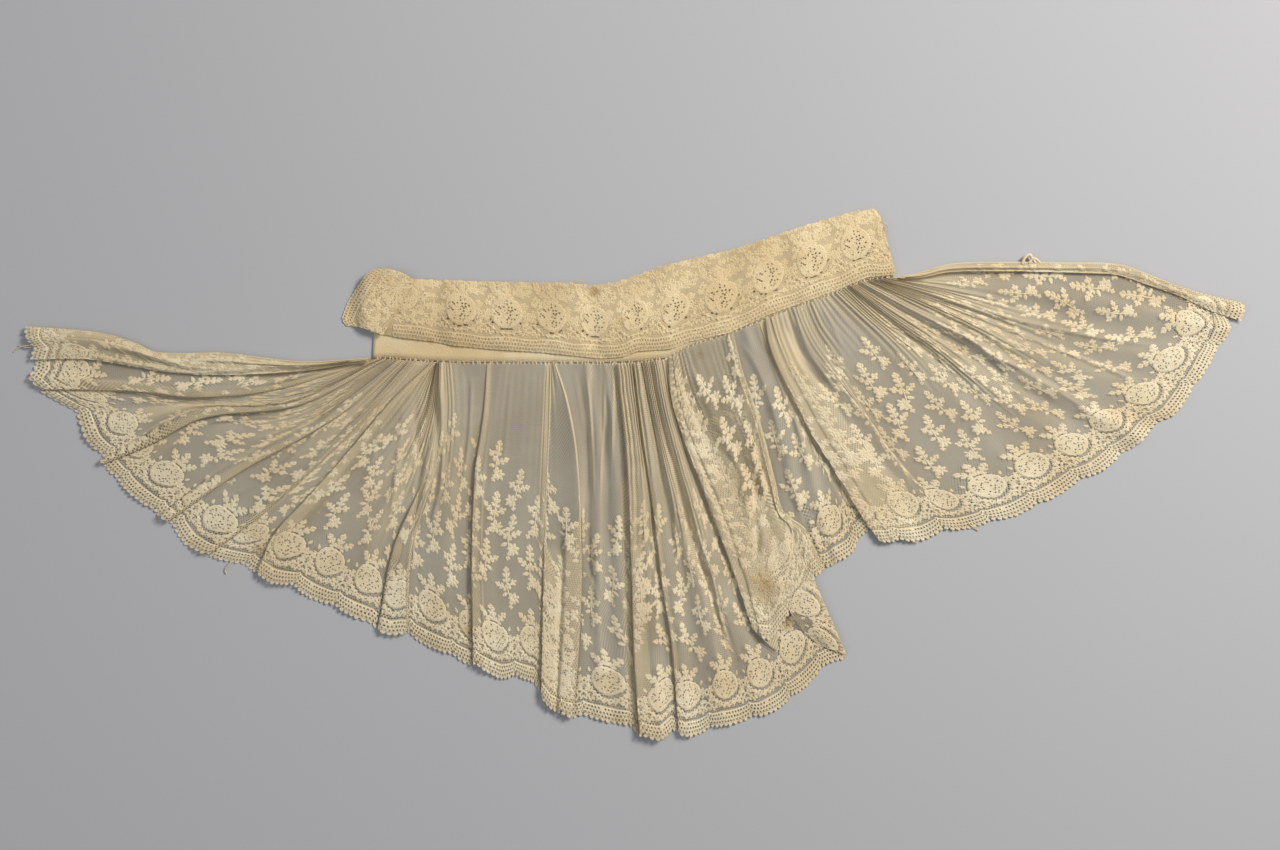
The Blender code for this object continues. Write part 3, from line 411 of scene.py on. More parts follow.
# Loose threads: the node that they hang from, radius and path in millimetres
Thread = namedtuple("Thread", "node radius path")
THREADS = rows_of(Thread, (
    ("flounce_left", 0.3, ((-240, -52, 1.5), (-243, -55, 2), (-245, -58, 1.2), (-244.5, -60.5, 0.6))),
    ("flounce_right", 0.3, ((200, -29, 1), (202, -31.5, 1.6), (205, -33.5, 1), (206.5, -34.6, 0.5))),
    ("flounce_right", 0.25, ((303, 25, 1), (306, 23, 1.6), (308, 22.4, 0.8))),
    ("flounce_left_roll", 0.35, ((-358, 76.5, 2.6), (-363, 76.4, 2.4), (-368, 75.6, 1.4), (-372, 72.6, 0.5))),
    ("flounce_left_roll", 0.25, ((-358, 76, 2.6), (-364, 75.2, 2), (-369, 76.6, 0.8))),
    ("flounce_right_roll", 1, (
        (232.6, 125.5, 2.6), (234, 129, 3.2), (237, 130.8, 3.2), (238.6, 128.6, 3), (240.6, 125.8, 2.6),
    )),
    ("flounce_right_roll", 0.8, ((236.5, 126, 2.8), (239.5, 128.6, 3.4), (243, 126.2, 2.6))),
    ("neckband_lace", 0.35, ((149.6, 149.8, 3), (151.6, 148.6, 3), (151.8, 146.4, 2.8), (150.2, 145.2, 2.8))),
    ("neckband_lace", 0.3, ((-36, 113.6, 3), (-33, 115.4, 3.2), (-29.5, 114.4, 3))),
))

FAR = 999                 # past every edge of the jabot
# Where a stretch's lace lies double: between two paths that run up from the hem
Doubled = namedtuple("Doubled", "left right")
ALL_DOUBLED = (Doubled(((-FAR, -FAR), (-FAR, FAR)), ((FAR, -FAR), (FAR, FAR))),)
CENTRE_DOUBLED = rows_of(Doubled, (
    (((-55.5, -140), (-54, -60), (-53.5, -42)), ((-36, -145), (-32, -80), (-32, -42))),
    (((-5, -160), (-7.5, -60), (-9, 0)), ((8, -152), (4.5, -60), (0.5, 0))),
    (((-26, -14), (-31.5, 72)), ((-23.5, -14), (-24, 72))),
    (((-21, -16), (-21, 72)), ((-18.5, -16), (-15, 72))),
    (((-14, 0), (-13.5, 72)), ((-12, 0), (-8.5, 72))),
))
CASCADE_DOUBLED = rows_of(Doubled, (
    (((-FAR, -110), (-FAR, 66)), ((FAR, -110), (FAR, -27), (66, -14), (63, 2), (44, 24), (30, 57), (27, 66))),
    (((100, -60), (83, -30), (76, -7), (69, 24), (60, 56)), ((FAR, -60), (FAR, 60))),
))
RIGHT_DOUBLED = rows_of(Doubled, (
    (((-FAR, -60), (-FAR, 90)), (
        (171, -42), (170, -22), (164, -8), (152, 4), (137, 17), (124, 37), (106, 61), (97, 80), (94, 92),
    )),
))

# Where the centre's sprigs begin below the bare net
CENTRE_SPRIG_TOP = (
    (-400, 60), (-140, 60), (-112, 34), (-82, 12), (-60, 4), (-38, -6), (-22, -26), (10, -29), (26, -20),
    (45, 0), (80, 60),
)

# Stains that show, and one spot of painted shade where a hollow lies in shadow under the cascade's end: place
# in millimetres, radius and strength
StainAndShadeSpot = namedtuple("StainAndShadeSpot", "x y radius strength")
STAINS_AND_PAINTED_SHADE = rows_of(StainAndShadeSpot, (
    (182, 115.5, 5.5, 0.55), (40, 71, 4, 0.5), (-24, 108, 4.5, 0.7), (-8, 91, 4.5, 0.45),
    # 93, -90 is painted shade: the hollow in shadow under the cascade's end, by the turned corner
    (77, -68, 15, 0.75), (93, -90, 7, 0.75), (-99, -94, 6.5, 0.6), (-16, -126, 10, 0.35),
    (57, -127, 9, 0.22), (-229, -34, 10, 0.25), (-225, -46, 6, 0.55), (-142, 97, 5, 0.4),
    (143, -8, 13, 0.45), (-122, 79, 3, 0.7), (-119, 104, 4, 0.4), (24, -112, 4, 0.4),
    (109, -47, 5, 0.5), (-262, 43, 12, 0.3), (38, 102, 3, 0.5), (-137, 108, 5, 0.35),
))
STAIN_AND_SHADE_COLOUR = (0.42, 0.27, 0.10, 1.0)
STAIN_AND_SHADE_HEIGHT = 0.002      # metres
# Small holes that are torn in the lace: place in millimetres and radius
Hole = namedtuple("Hole", "x y radius")
HOLES = (Hole(286, 114, 1.3), Hole(42.5, -135, 1.7), Hole(332, 77, 1), Hole(250, 62, 0.9))

CREAM = (0.80, 0.71, 0.51, 1.0)
CREAM_DARK = (0.70, 0.57, 0.36, 1.0)
NET_CREAM = (0.65, 0.57, 0.405, 1.0)
NET_DARK = (0.51, 0.42, 0.265, 1.0)
DOUBLED_CREAM = (0.71, 0.59, 0.38, 1.0)
IVORY = (0.83, 0.68, 0.42, 1.0)
IVORY_DARK = (0.67, 0.51, 0.28, 1.0)
TAPE_IVORY = (0.81, 0.69, 0.45, 1.0)
BAND_GROUND = (0.74, 0.59, 0.35, 1.0)
BAND_SHADE = (0.58, 0.45, 0.26, 1.0)
# Painted shade seen through the clothwork's pinholes, painted as dark dots
PINHOLE_PAINTED_SHADE = (0.30, 0.21, 0.11, 1.0)
# Painted shade on the net threads' rims round each hole, standing in for the threads shading each other
HOLE_RIM_PAINTED_SHADE = (0.22, 0.18, 0.12, 1.0)


def ease(t):
    """Smooth step from 0 to 1."""
    t = np.clip(t, 0.0, 1.0)
    return t * t * (3.0 - 2.0 * t)


def norm(vectors):
    """Lengths of vectors."""
    return np.linalg.norm(vectors, axis=-1)


def path_points(path, shares):
    """Points at shares of a path's length, on a smooth curve through its points."""
    path = np.array(path, float)
    lengths = np.concatenate([[0.0], np.cumsum(norm(np.diff(path, axis=0)))])
    low = np.maximum(np.arange(len(path)) - 1, 0)
    high = np.minimum(np.arange(len(path)) + 1, len(path) - 1)
    slopes = (path[high] - path[low]) / (lengths[high] - lengths[low])[:, None]
    place = np.asarray(shares) * lengths[-1]
    after = np.clip(np.searchsorted(lengths, place, side="right"), 1, len(path) - 1)
    before = after - 1
    span = (lengths[after] - lengths[before])[:, None]
    t = (place - lengths[before])[:, None] / span
    return (
        (2 * t**3 - 3 * t**2 + 1) * path[before] + (t**3 - 2 * t**2 + t) * slopes[before] * span
        + (3 * t**2 - 2 * t**3) * path[after] + (t**3 - t**2) * slopes[after] * span
    )


def through_three(values, shares):
    """A smooth value from its values at the seam, the middle and the hem."""
    first, middle, last = values
    upper = first + (middle - first) * ease(shares * 2)
    return np.where(shares < 0.5, upper, middle + (last - middle) * ease(shares * 2 - 1))


def grown_share(fold, shares):
    """How much of a fold's tuck is there, from 0 to 1, at shares of its path."""
    if fold.start:
        return ease((shares - fold.start) / TUCK_OPENS)
    return TUCK_AT_SEAM + (1.0 - TUCK_AT_SEAM) * shares


def fold_stations(folds, shares):
    """Lines from seam to hem that the cloth passes through in turn, as (points, gather, shows)."""
    lines = [path_points(fold.path, shares) for fold in folds]
    rises = [through_three(fold.rise, shares) + LIFT for fold in folds]
    last = len(folds) - 1
    stations = []
    for number, (fold, line, rise) in enumerate(zip(folds, lines, rises)):
        if not fold.tuck:
            stations.append((np.column_stack([line, rise]), fold.gather, True))
            continue
        inner, outer = (max(min(number + side * fold.faces, last), 0) for side in (-1, 1))
        across = lines[min(number + 1, last)] - lines[max(number - 1, 0)]
        outward = across / np.maximum(norm(across), 0.01)[:, None] * fold.faces
        grown = grown_share(fold, shares)
        width = fold.tuck * grown
        room = norm(line - lines[inner])
        if 0 < number < last:
            width = np.minimum(width, TUCK_ROOM * room)
        crest = np.minimum(width + CREST_SHOULDER, np.maximum(CREST_ROOM * room, LEAST_CREST))
        top = np.maximum(rise, CREST_LIFT * grown + LIFT)
        turn = np.maximum(np.minimum(top - 0.9, rises[inner] - 0.6), LOWEST)
        below = np.maximum(np.minimum(top - 0.8, rises[outer]), LOWEST)
        flat = 1.0 - np.minimum(grown * 3.0, 1.0)
        turn, below = turn + (rise - turn) * flat, below + (rise - below) * flat
        # Crest, edge, round the edge, far end of the tuck, next layer: how far outward, height, gather, shows
        parts = [
            (-crest, top - 0.2, fold.gather, True),
            (0.0, top, fold.gather, True),
            (0.3, top * 0.6 + turn * 0.4, 0.0, False),
            (-width, turn, 0.0, False),
            (0.4, below, 0.0, True),
        ]
        if not 0 <= number + fold.faces <= last:
            parts.pop()
        parts = [
            (np.column_stack([line + outward * np.reshape(away, (-1, 1)), height]), gather, shows)
            for away, height, gather, shows in parts
        ]
        stations += parts if fold.faces > 0 else parts[::-1]
    return stations


def nearest_on_path(points, path):
    """How far each point of a surface is from a path, and the nearest place on it, from 0 to 1."""
    path = path_points(path, np.linspace(0.0, 1.0, 25))
    start, step = path[:-1], np.diff(path, axis=0)
    spot = points[..., None, :2] - start
    along = np.clip((spot * step).sum(-1) / (step**2).sum(-1), 0.0, 1.0)
    away = norm(spot - along[..., None] * step)
    nearest = away.argmin(-1)[..., None]
    distance, along = (np.take_along_axis(values, nearest, -1)[..., 0] for values in (away, along))
    return distance, (nearest[..., 0] + along) / len(step)


def crease_height(points, crease):
    """Height that a crease adds at each point of a surface."""
    distance, place = nearest_on_path(points, crease.path)
    fade = ease(place / 0.18) * ease((1.0 - place) / 0.22)
    return crease.height * fade * np.exp(-((distance / crease.width) ** 2))


def tucked_share(points, folds):
    """1 where cloth is folded under the one that shows, 0 elsewhere, with soft edges."""
    share = np.zeros(points.shape[:2])
    for number, fold in enumerate(folds):
        inner = number - fold.faces
        if not fold.tuck or not 0 <= inner < len(folds):
            continue
        distance, place = nearest_on_path(points, fold.path)
        to_inner, _ = nearest_on_path(points, folds[inner].path)
        gap = path_points(folds[inner].path, place.ravel()) - path_points(fold.path, place.ravel())
        gap = norm(gap).reshape(place.shape)
        width = fold.tuck * grown_share(fold, place)
        inside = ease((width - distance) / SOFT_EDGE) * (to_inner < np.hypot(gap, distance))
        share = np.maximum(share, inside)
    return share


class Surface:
    """A stretch of cloth: real places, in millimetres, from places u, v on the flat lace."""

    def __init__(self, points, shows, u=None):
        self.points, self.shows = points, shows
        self.rows = points.shape[1] - 1
        self.hidden = np.where(shows, 0.0, HIDDEN_AWAY)
        hem = norm(np.diff(points[:, -1], axis=0))
        self.u = np.concatenate([[0.0], np.cumsum(hem + 1e-4)]) if u is None else u
        self.depth = norm(np.diff(points, axis=1)).sum(1)
        normals = np.cross(np.gradient(points, axis=1), np.gradient(points, axis=0))
        self.normals = normals / np.maximum(norm(normals), 1e-6)[..., None]
        self.even_from, self.even_column = None, 0
        self.tucked = np.zeros(points.shape[:2])

    def keep_even(self, x, y, from_height):
        """Keep the lace from being drawn together sideways near x, y, from a height above the hem."""
        away = norm(self.points[..., :2] - (x, y)).min(1) + self.hidden
        self.even_from, self.even_column = from_height, int(away.argmin())

    def flat_spot(self, x, y):
        """The flat place u, v of the cloth that shows at x, y."""
        away = norm(self.points[..., :2] - (x, y)) + self.hidden[:, None]
        column, row = np.unravel_index(away.argmin(), away.shape)
        return float(self.flat_places()[column, row]), float(self.depth[column] * (1.0 - row / self.rows))

    def fit_discs(self, discs):
        """Number the flat places so that the numbered discs come where they show."""
        row = np.round((1.0 - DISC_HEIGHT / self.depth) * self.rows).astype(int)
        middles = self.points[np.arange(len(row)), np.clip(row, 0, self.rows), :2]
        found = sorted(
            (self.u[(norm(middles - (disc.x, disc.y)) + self.hidden).argmin()], disc.number * REPEAT)
            for disc in discs
        )
        places, numbers = zip(*found)
        first, last = numbers[0] - (places[0] - self.u[0]), numbers[-1] + (self.u[-1] - places[-1])
        known = [self.u[0] - 1e-3, *places, self.u[-1] + 1e-3]
        self.u = np.interp(self.u, known, [first, *numbers, last]) + np.arange(len(self.u)) * 1e-5

    def flat_places(self):
        """The flat u of every grid point: as along the hem, but with no cloth stretched above it."""
        hem_steps = np.diff(self.u)[:, None]
        real_steps = norm(np.diff(self.points, axis=0))
        spare = smooth_columns(smooth_columns(hem_steps - real_steps, 8), 8)
        high = (1.0 - np.linspace(0.0, 1.0, self.rows + 1))[None, :] * self.depth.mean()
        even = self.even_from is not None
        steps = real_steps + (0.0 if even else np.maximum(spare, 0.0))
        freed = ease((high - self.even_from) / EVEN_RUN) if even else ease((high - FREE_ABOVE) / FREE_RUN)
        steps = hem_steps * (1.0 - freed) + steps * freed
        start = np.full((1, self.rows + 1), self.u[0])
        flat = np.concatenate([start, self.u[0] + np.cumsum(steps, axis=0)])
        return flat + self.u[self.even_column] - flat[self.even_column]

    def down_columns(self, v):
        """Real points and flat u at the heights v down every column."""
        row = (1.0 - v / self.depth[:, None]) * self.rows
        upper = np.clip(np.floor(row).astype(int), 0, self.rows - 1)
        b = row - upper
        column = np.arange(len(self.u))[:, None]
        flat = self.flat_places()
        u = flat[column, upper] + (flat[column, upper + 1] - flat[column, upper]) * np.clip(b, 0.0, 1.0)
        step = self.points[column, upper + 1] - self.points[column, upper]
        return self.points[column, upper] + step * b[..., None], u

    def place(self, u, v, h):
        """Real points for flat places u, v at the height h over the cloth; which show, which are off it."""
        row = (1.0 - v / np.interp(u, self.u, self.depth)) * self.rows
        upper = np.clip(np.floor(row).astype(int), 0, self.rows - 1)
        flat = self.flat_places()
        shows = self.shows[:, None, None] * np.ones((1, self.rows + 1, 1))
        grid = np.concatenate([self.points, self.normals, shows], axis=2)
        found = np.zeros((2, len(u), 7))
        off = np.zeros(len(u), bool)
        for line in np.unique(upper):
            these = np.flatnonzero(upper == line)
            off[these] = (u[these] < flat[0, line]) | (u[these] > flat[-1, line])
            for side in (0, 1):
                for part in range(7):
                    values = grid[:, line + side, part]
                    found[side, these, part] = np.interp(u[these], flat[:, line + side], values)
        b = (row - upper)[:, None]
        found = found[0] * (1 - b) + found[1] * b
        return found[:, :3] + found[:, 3:6] * h[:, None], found[:, 6] > 0.5, off


def smooth_columns(values, reach):
    """Values averaged over a run of columns."""
    window = np.ones(2 * reach + 1) / (2 * reach + 1)
    padded = np.concatenate([values[:1]] * reach + [values] + [values[-1:]] * reach)
    return np.array([np.convolve(padded[:, row], window, "valid") for row in range(values.shape[1])]).T


def gather_waves(surface, gathers):
    """Height of the gathers, which take up the cloth where it is crowded, and of soft ripples."""
    shares = np.linspace(0.0, 1.0, surface.rows + 1)[None, :]
    u = surface.flat_places()
    flat_step, real_step = np.gradient(u, axis=0), norm(np.gradient(surface.points, axis=0))
    crowded = smooth_columns(flat_step, 5) / np.maximum(smooth_columns(real_step, 5), 0.05)
    slope = np.sqrt(np.maximum(crowded**2 - 1.0, 0.0) / 0.47)
    height = np.minimum(slope * GATHER_LENGTH / crowded / (2.0 * math.pi), GATHER_LIMIT)
    phase = 2.0 * math.pi / GATHER_LENGTH * u + 2.3 * np.sin(u * 0.093) + 1.6 * np.sin(u * 0.21 + 2.0)
    wave = 0.5 + 0.5 * np.sin(phase + 0.5 * np.sin(shares * 5.0 + u * 0.05))
    wave *= 0.75 + 0.25 * np.sin(u * 0.37 + 1.0)
    reach = 0.58 + 0.3 * np.sin(u * 0.19) * np.sin(u * 0.047 + 1.0)
    fade = 1.0 - ease(shares / np.maximum(reach, 0.2)) ** 1.5
    seen = smooth_columns(surface.shows[:, None].astype(float), 3) ** 2
    ripple = 0.3 * np.sin(u * 0.21 + 3.0 * shares) * np.sin(u * 0.058 + 5.0 * shares) + 0.3
    return (height * 2.0 * wave * fade * gathers[:, None] + ripple * ease(shares * 3)) * seen


def make_surface(folds, discs=(), creases=(), rows=ROWS, waves=True, carried=None):
    """The surface of one stretch of cloth from its folds and creases, its u fitted to the discs that show."""
    shares = np.linspace(0.0, 1.0, rows + 1)
    stations = fold_stations(folds, shares)
    columns, gathers, shows = [], [], []
    for (start, start_gather, start_shows), (end, end_gather, end_shows) in zip(stations, stations[1:]):
        count = max(1, round(norm(end[-1] - start[-1]) / COLUMN_STEP))
        for number in range(count):
            t = number / count
            columns.append(start + (end - start) * np.array([t, t, float(ease(t))]))
            gathers.append(start_gather + (end_gather - start_gather) * t)
            shows.append(start_shows and end_shows)
    for values, value in zip((columns, gathers, shows), stations[-1]):
        values.append(value)
    points = np.array(columns)
    for crease in creases:
        points[..., 2] += crease_height(points, crease)
    base = Surface(points, np.array(shows))
    if discs:
        base.fit_discs(discs)
    if waves:
        points[..., 2] += gather_waves(base, np.array(gathers))
    if carried:
        points[..., 2] += carried(points[..., 0])
    lowest = LOWEST + (SEAM_RISE * (1.0 - ease(shares * 16.0)) if waves else 0.0)
    points[..., 2] = np.maximum(points[..., 2], lowest)
    surface = Surface(points, base.shows, base.u)
    surface.tucked = tucked_share(points, folds)
    return surface


def band_surface(lower, upper, rows, step, inset, height):
    """A surface across the band from its upper to its lower line; height is worked out from x and share."""
    count = round((BAND_RIGHT[0] - BAND_LEFT[0]) / step)
    across = np.linspace(0.0, 1.0, count + 1)[:, None]
    share = np.linspace(1.0, 0.0, rows + 1)[None, :]
    left = BAND_LEFT[0] + (BAND_LEFT[1] - BAND_LEFT[0]) * share + inset
    right = BAND_RIGHT[0] + (BAND_RIGHT[1] - BAND_RIGHT[0]) * share - inset
    x = left + (right - left) * across
    low = np.interp(x, *zip(*lower))
    high = np.interp(x, *zip(*upper)) - inset
    if not inset:
        high = high + 0.45 * np.sin(x * 1.13) * np.sin(x * 0.29) - 0.2
    points = np.stack([x, low + (high - low) * share, height(x, share)], axis=-1)
    return Surface(points, np.ones(count + 1, bool))


def band_lace_height(x, share):
    """Height of the neckband's lace: crowned between its creases, with a slight unevenness."""
    hollow = np.zeros_like(x)
    for pucker in PUCKERS:
        away = (x - pucker.x - pucker.lean * share) / pucker.width
        hollow = np.maximum(hollow, pucker.depth * np.exp(-away * away))
    crown = PUCKER_CROWN * np.sin(math.pi * np.clip(share, 0, 1)) ** 0.5 - 0.35 * (1.0 - ease(share * 7.0))
    uneven = 0.16 * np.sin(x * 0.31 + 4.0 * share) * np.sin(x * 0.083 + 7.0 * share + 1.0)
    return LACE_UNDERSIDE + LACE_MIDDLE + np.maximum(crown - hollow, -0.7) + uneven


def tape_height(x, share):
    """Height of the tape's upper side: flat, with faint cockles from the stitching."""
    return TAPE_THICK - 0.15 + 0.12 * np.sin(x * 0.42) * np.sin(x * 0.11 + 1.0) * (1.0 - share)


def over_the_band(x):
    """Underside of the turned end: on the lace over the band, and down to the surface past it."""
    top_of_lace = LACE_UNDERSIDE + PUCKER_CROWN + 1.7
    return top_of_lace * ease((x - TAPE_END + DROP_LENGTH) / (DROP_LENGTH - 2.0))


def hem_edge(u):
    """Height of the scalloped hem over its middle line, in flat measures; below it is negative."""
    return -SCALLOP_DEPTH * (np.sqrt(np.abs(np.cos(np.pi * np.asarray(u) / REPEAT))) - SCALLOP_MIDDLE)


# Heights of the drawn lace over the net
EDGE_HEIGHT = 0.06
PETAL_HEIGHT = 0.5
GIMP_HEIGHT = 0.55
DISC_FACE = 0.34
BAND_FACE = 0.42
PETAL_OUTLINE = ((0, 0), (0.34, -0.48), (0.76, -0.36), (1, 0), (0.76, 0.36), (0.34, 0.48))
SPRAY_WIDTHS = (1.12, 1.2, 1.0, 0.8)
DISC_CELLS = 20           # squares across a disc's face
DISC_FACE_REACH = 0.4     # share of them that may be open, from its middle
ARC_STEPS, ARC_ROWS = 46, 5
ARC_OPEN = 0.1
EDGE_COLUMNS = 30
EDGE_LOOPS = 9
# The edge band's rows of points: their distance from the edge and their height
EDGE_LEVELS = (
    (0.0, EDGE_HEIGHT), (1.1, 0.7), (2.0, 0.35), (3.0, 0.65), (4.0, 0.35), (5.1, 0.6), (6.1, 0.4),
    (LADDER_DEPTH, EDGE_HEIGHT),
)
EDGE_HOLE_ROWS = (1, 3, 5)
EDGE_OPEN = 0.85          # share of the holes that are open
# Lobed leaves beside and below a disc, the same on its other side: foot, angle from upright, length
SIDE_LEAVES = (
    (13.2, 18.4, 24, 5.4), (13.3, 21.4, 60, 4.6), (13.0, 10.0, 46, 4.4), (13.3, 13.4, 34, 4.6),
    (10.4, 9.4, 62, 4.0), (11.2, 17.6, 10, 5.6),
)


class Motif:
    """Flat lace drawn as points (u, v, height) and faces."""

    def __init__(self):
        self.points = []
        self.faces = []

    def add(self, points, faces):
        start = len(self.points)
        self.points += [tuple(point) for point in points]
        self.faces += [tuple(index + start for index in face) for face in faces]

    def moved(self, u, v, angle=0.0, scale=1.0):
        """Points turned by an angle in degrees about their origin, scaled and moved to u, v; and faces."""
        x, y, height = np.array(self.points).T
        turn = math.radians(angle)
        c, s = math.cos(turn) * scale, math.sin(turn) * scale
        return np.column_stack([x * c - y * s + u, x * s + y * c + v, height]), self.faces


def add_petal(motif, u, v, length, width, angle, height=PETAL_HEIGHT):
    """A small raised lobe of clothwork from its foot at u, v."""
    turn = math.radians(angle)
    c, s = math.cos(turn), math.sin(turn)
    points = [
        (u + c * length * a - s * width * b, v + s * length * a + c * width * b, EDGE_HEIGHT + 0.1 * height)
        for a, b in PETAL_OUTLINE
    ]
    points.append((u + c * length * 0.55, v + s * length * 0.55, height))
    motif.add(points, [(k, (k + 1) % 6, 6) for k in range(6)])


def add_spray(motif, u, v, length, width, angle, pairs=3, height=PETAL_HEIGHT):
    """A leaf made of lobes: pairs of them up its middle and one at its tip."""
    turn = math.radians(angle)
    c, s = math.cos(turn), math.sin(turn)
    thick = length / (pairs + 0.4) * 0.80
    for pair in range(pairs):
        along = length * (pair + 0.1) / (pairs + 0.35)
        reach = width * 0.5 * SPRAY_WIDTHS[pair] * (1.0 if pairs > 2 else 1.05)
        for side in (-1, 1):
            lean, high = angle + side * (54 - 7 * pair), height * (0.8 + 0.07 * pair)
            add_petal(motif, u + c * along, v + s * along, reach, thick, lean, high)
    tip = length * (pairs - 0.55) / (pairs + 0.35)
    add_petal(motif, u + c * tip, v + s * tip, length - tip, width * 0.42, angle, height)
    add_petal(motif, u, v, tip + 0.8, width * 0.34, angle, height * 1.15)


def add_stem(motif, path, width):
    """A raised thread along a path of (u, v) points."""
    path = np.array(path, float)
    along = np.gradient(path, axis=0)
    along /= norm(along)[:, None]
    side = np.column_stack([-along[:, 1], along[:, 0]]) * width / 2
    points, faces = [], []
    for number, (point, offset) in enumerate(zip(path, side)):
        points += [(*(point - offset), EDGE_HEIGHT), (*point, GIMP_HEIGHT), (*(point + offset), EDGE_HEIGHT)]
        if number:
            a = (number - 1) * 3
            faces += [(a, a + 3, a + 4, a + 1), (a + 1, a + 4, a + 5, a + 2)]
    motif.add(points, faces)


def add_disc(motif, v, across, high, rng, rim_height, open_share):
    """A disc of clothwork with scattered pinholes and a raised rim, its middle at the height v."""
    points, faces, cells = [], [], DISC_CELLS
    grid = np.linspace(-1.0, 1.0, cells + 1)
    for y in grid:
        for x in grid:
            px, py = x * math.sqrt(1 - y * y / 2), y * math.sqrt(1 - x * x / 2)
            away, turn = math.hypot(px, py), math.atan2(py, px)
            rim = math.exp(-(((away - 0.92) / 0.07) ** 2))
            h = EDGE_HEIGHT if away > 0.985 else DISC_FACE + rim_height * rim + rng.uniform(-0.06, 0.06)
            shape = 1.0 + 0.035 * math.sin(3 * turn + 1.0) + 0.02 * math.sin(17 * turn)
            points.append((px * across * shape, v + py * high * shape, h))
    opened = set()
    for j in range(cells):
        for i in range(cells):
            inside = math.hypot(i + 0.5 - cells / 2, j + 0.5 - cells / 2) < cells * DISC_FACE_REACH
            if inside and not {(i - 1, j), (i, j - 1)} & opened and rng.uniform() < open_share:
                opened.add((i, j))
                continue
            a = j * (cells + 1) + i
            faces.append((a, a + 1, a + cells + 2, a + cells + 1))
    motif.add(points, faces)


def add_arc_band(motif, v, inner, outer, start, end, rng):
    """A band of clothwork with ragged edges that runs round below a disc."""
    points, faces, rows = [], [], ARC_ROWS
    for step in range(ARC_STEPS + 1):
        turn = math.radians(start + (end - start) * step / ARC_STEPS)
        lobe = math.pi * step / 5.0
        low = inner + 1.1 * abs(math.sin(lobe)) + rng.uniform(-0.3, 0.3)
        high = outer - 1.7 * abs(math.cos(lobe * 1.15)) + rng.uniform(-0.3, 0.3)
        for row in range(rows + 1):
            radius = low + (high - low) * row / rows
            h = EDGE_HEIGHT + 0.05 if row in (0, rows) else BAND_FACE + rng.uniform(-0.14, 0.16)
            points.append((radius * math.cos(turn), v + radius * math.sin(turn), h))
            if step and row and not (0 < row < rows and rng.uniform() < ARC_OPEN):
                a = step * (rows + 1) + row
                faces.append((a - rows - 2, a - 1, a, a - rows - 1))
    motif.add(points, faces)


def add_edge_band(motif, rng, straight):
    """The hem's outer band: cords along the edge with rows of holes between them, and small loops."""
    half, size = REPEAT / 2, len(EDGE_LEVELS)
    points, faces = [], []
    for column in range(EDGE_COLUMNS + 1):
        u = -half + REPEAT * column / EDGE_COLUMNS
        edge = 0.0 if straight else float(hem_edge(u))
        deeper = 1.0 + 0.16 * math.cos(math.pi * u / REPEAT)
        ragged = rng.uniform(-0.3, 0.3) if 0 < column < EDGE_COLUMNS else 0.0
        for level, height in EDGE_LEVELS:
            outward = 0.0 if level else -ragged
            height = 0.3 + (height - 0.3) * (0.45 if straight and level else 1.0)
            points.append((u, edge + outward + level * deeper, height + rng.uniform(-0.08, 0.08)))
    for column in range(EDGE_COLUMNS):
        for row in range(size - 1):
            if row in EDGE_HOLE_ROWS and (column + row // 2) % 2 and rng.uniform() < EDGE_OPEN:
                continue
            a = column * size + row
            faces.append((a, a + size, a + size + 1, a + 1))
    motif.add(points, faces)
    for loop in range(EDGE_LOOPS):
        u = -half + REPEAT * (loop + 0.5) / EDGE_LOOPS
        edge = 0.0 if straight else float(hem_edge(u))
        add_petal(motif, u, edge + 0.9, rng.uniform(1.9, 2.6), 2.5, -90.0 + rng.uniform(-12, 12), 0.4)


def border_motif(straight=False, disc=True):
    """One repeat of the border, its disc over u = 0: edge band, band round the disc, disc and leaf sprays."""
    motif = Motif()
    rng = np.random.default_rng(8)
    centre = DISC_HEIGHT
    add_edge_band(motif, rng, straight)
    if disc:
        holes, radius, tall = (0.2, BAND_DISC_RADIUS, 0.98) if straight else (0.22, DISC_RADIUS, DISC_TALL)
        add_disc(motif, centre, radius, radius * tall, rng, 0.05, holes)
    else:
        for number in range(14):
            turn, away = number * 2.4, 1.2 + 0.55 * number
            foot = away * math.cos(turn), centre + away * math.sin(turn)
            add_spray(motif, *foot, 5.6, 4.2, math.degrees(turn) + 40, pairs=2)
    add_arc_band(motif, centre, 11.2 if straight and disc else 9.8, 15.0, 197, 343, rng)
    for side in (-1, 1):
        for u, v, angle, length in SIDE_LEAVES:
            add_spray(motif, side * u, v, length, 3.2, 90 + side * angle, pairs=2)
        add_petal(motif, side * 9.8, 26.0, 3.4, 2.0, 90 - side * 24)
        add_spray(motif, side * 2.0, centre + 9.0, 9.4, 5.6, 90 - side * 50)
    add_spray(motif, 0.0, centre + 9.0, 10.2, 6.2, 90)
    return motif


def medallion_motif(wide=1.0, tall=1.0):
    """A disc with the band below it and the crown of leaves on it, about u, v = 0, stretched as asked."""
    motif = Motif()
    rng = np.random.default_rng(10)
    add_disc(motif, 0.0, 8.7, 8.5, rng, 0.06, 0.22)
    add_arc_band(motif, 0.0, 10.0, 14.4, 150, 390, rng)
    for angle in (40, 90, 140):
        turn = math.radians(angle)
        add_spray(motif, 9.0 * math.cos(turn), 9.0 * math.sin(turn), 9.4, 5.6, angle)
    motif.points = [(u * wide, v * tall, height) for u, v, height in motif.points]
    return motif


def band_motif(disc=True):
    """One repeat of the neckband's lace: the border with a straight edge, filled up to the neck edge."""
    motif = border_motif(True, disc)
    rng = np.random.default_rng(9)
    for row in range(9):
        for column in range(6):
            u = (column + 0.5 * (row % 2) - 2.75) * REPEAT / 6
            v = 22.0 + 3.4 * row
            if math.hypot(u, v - DISC_HEIGHT) < BAND_DISC_RADIUS + 1.8:
                continue
            u, v = u + rng.uniform(-0.7, 0.7), v + rng.uniform(-0.7, 0.7)
            add_spray(motif, u, v, rng.uniform(4.2, 5.4), rng.uniform(3.2, 4.2), rng.uniform(0, 360), 2, 0.42)
    return motif


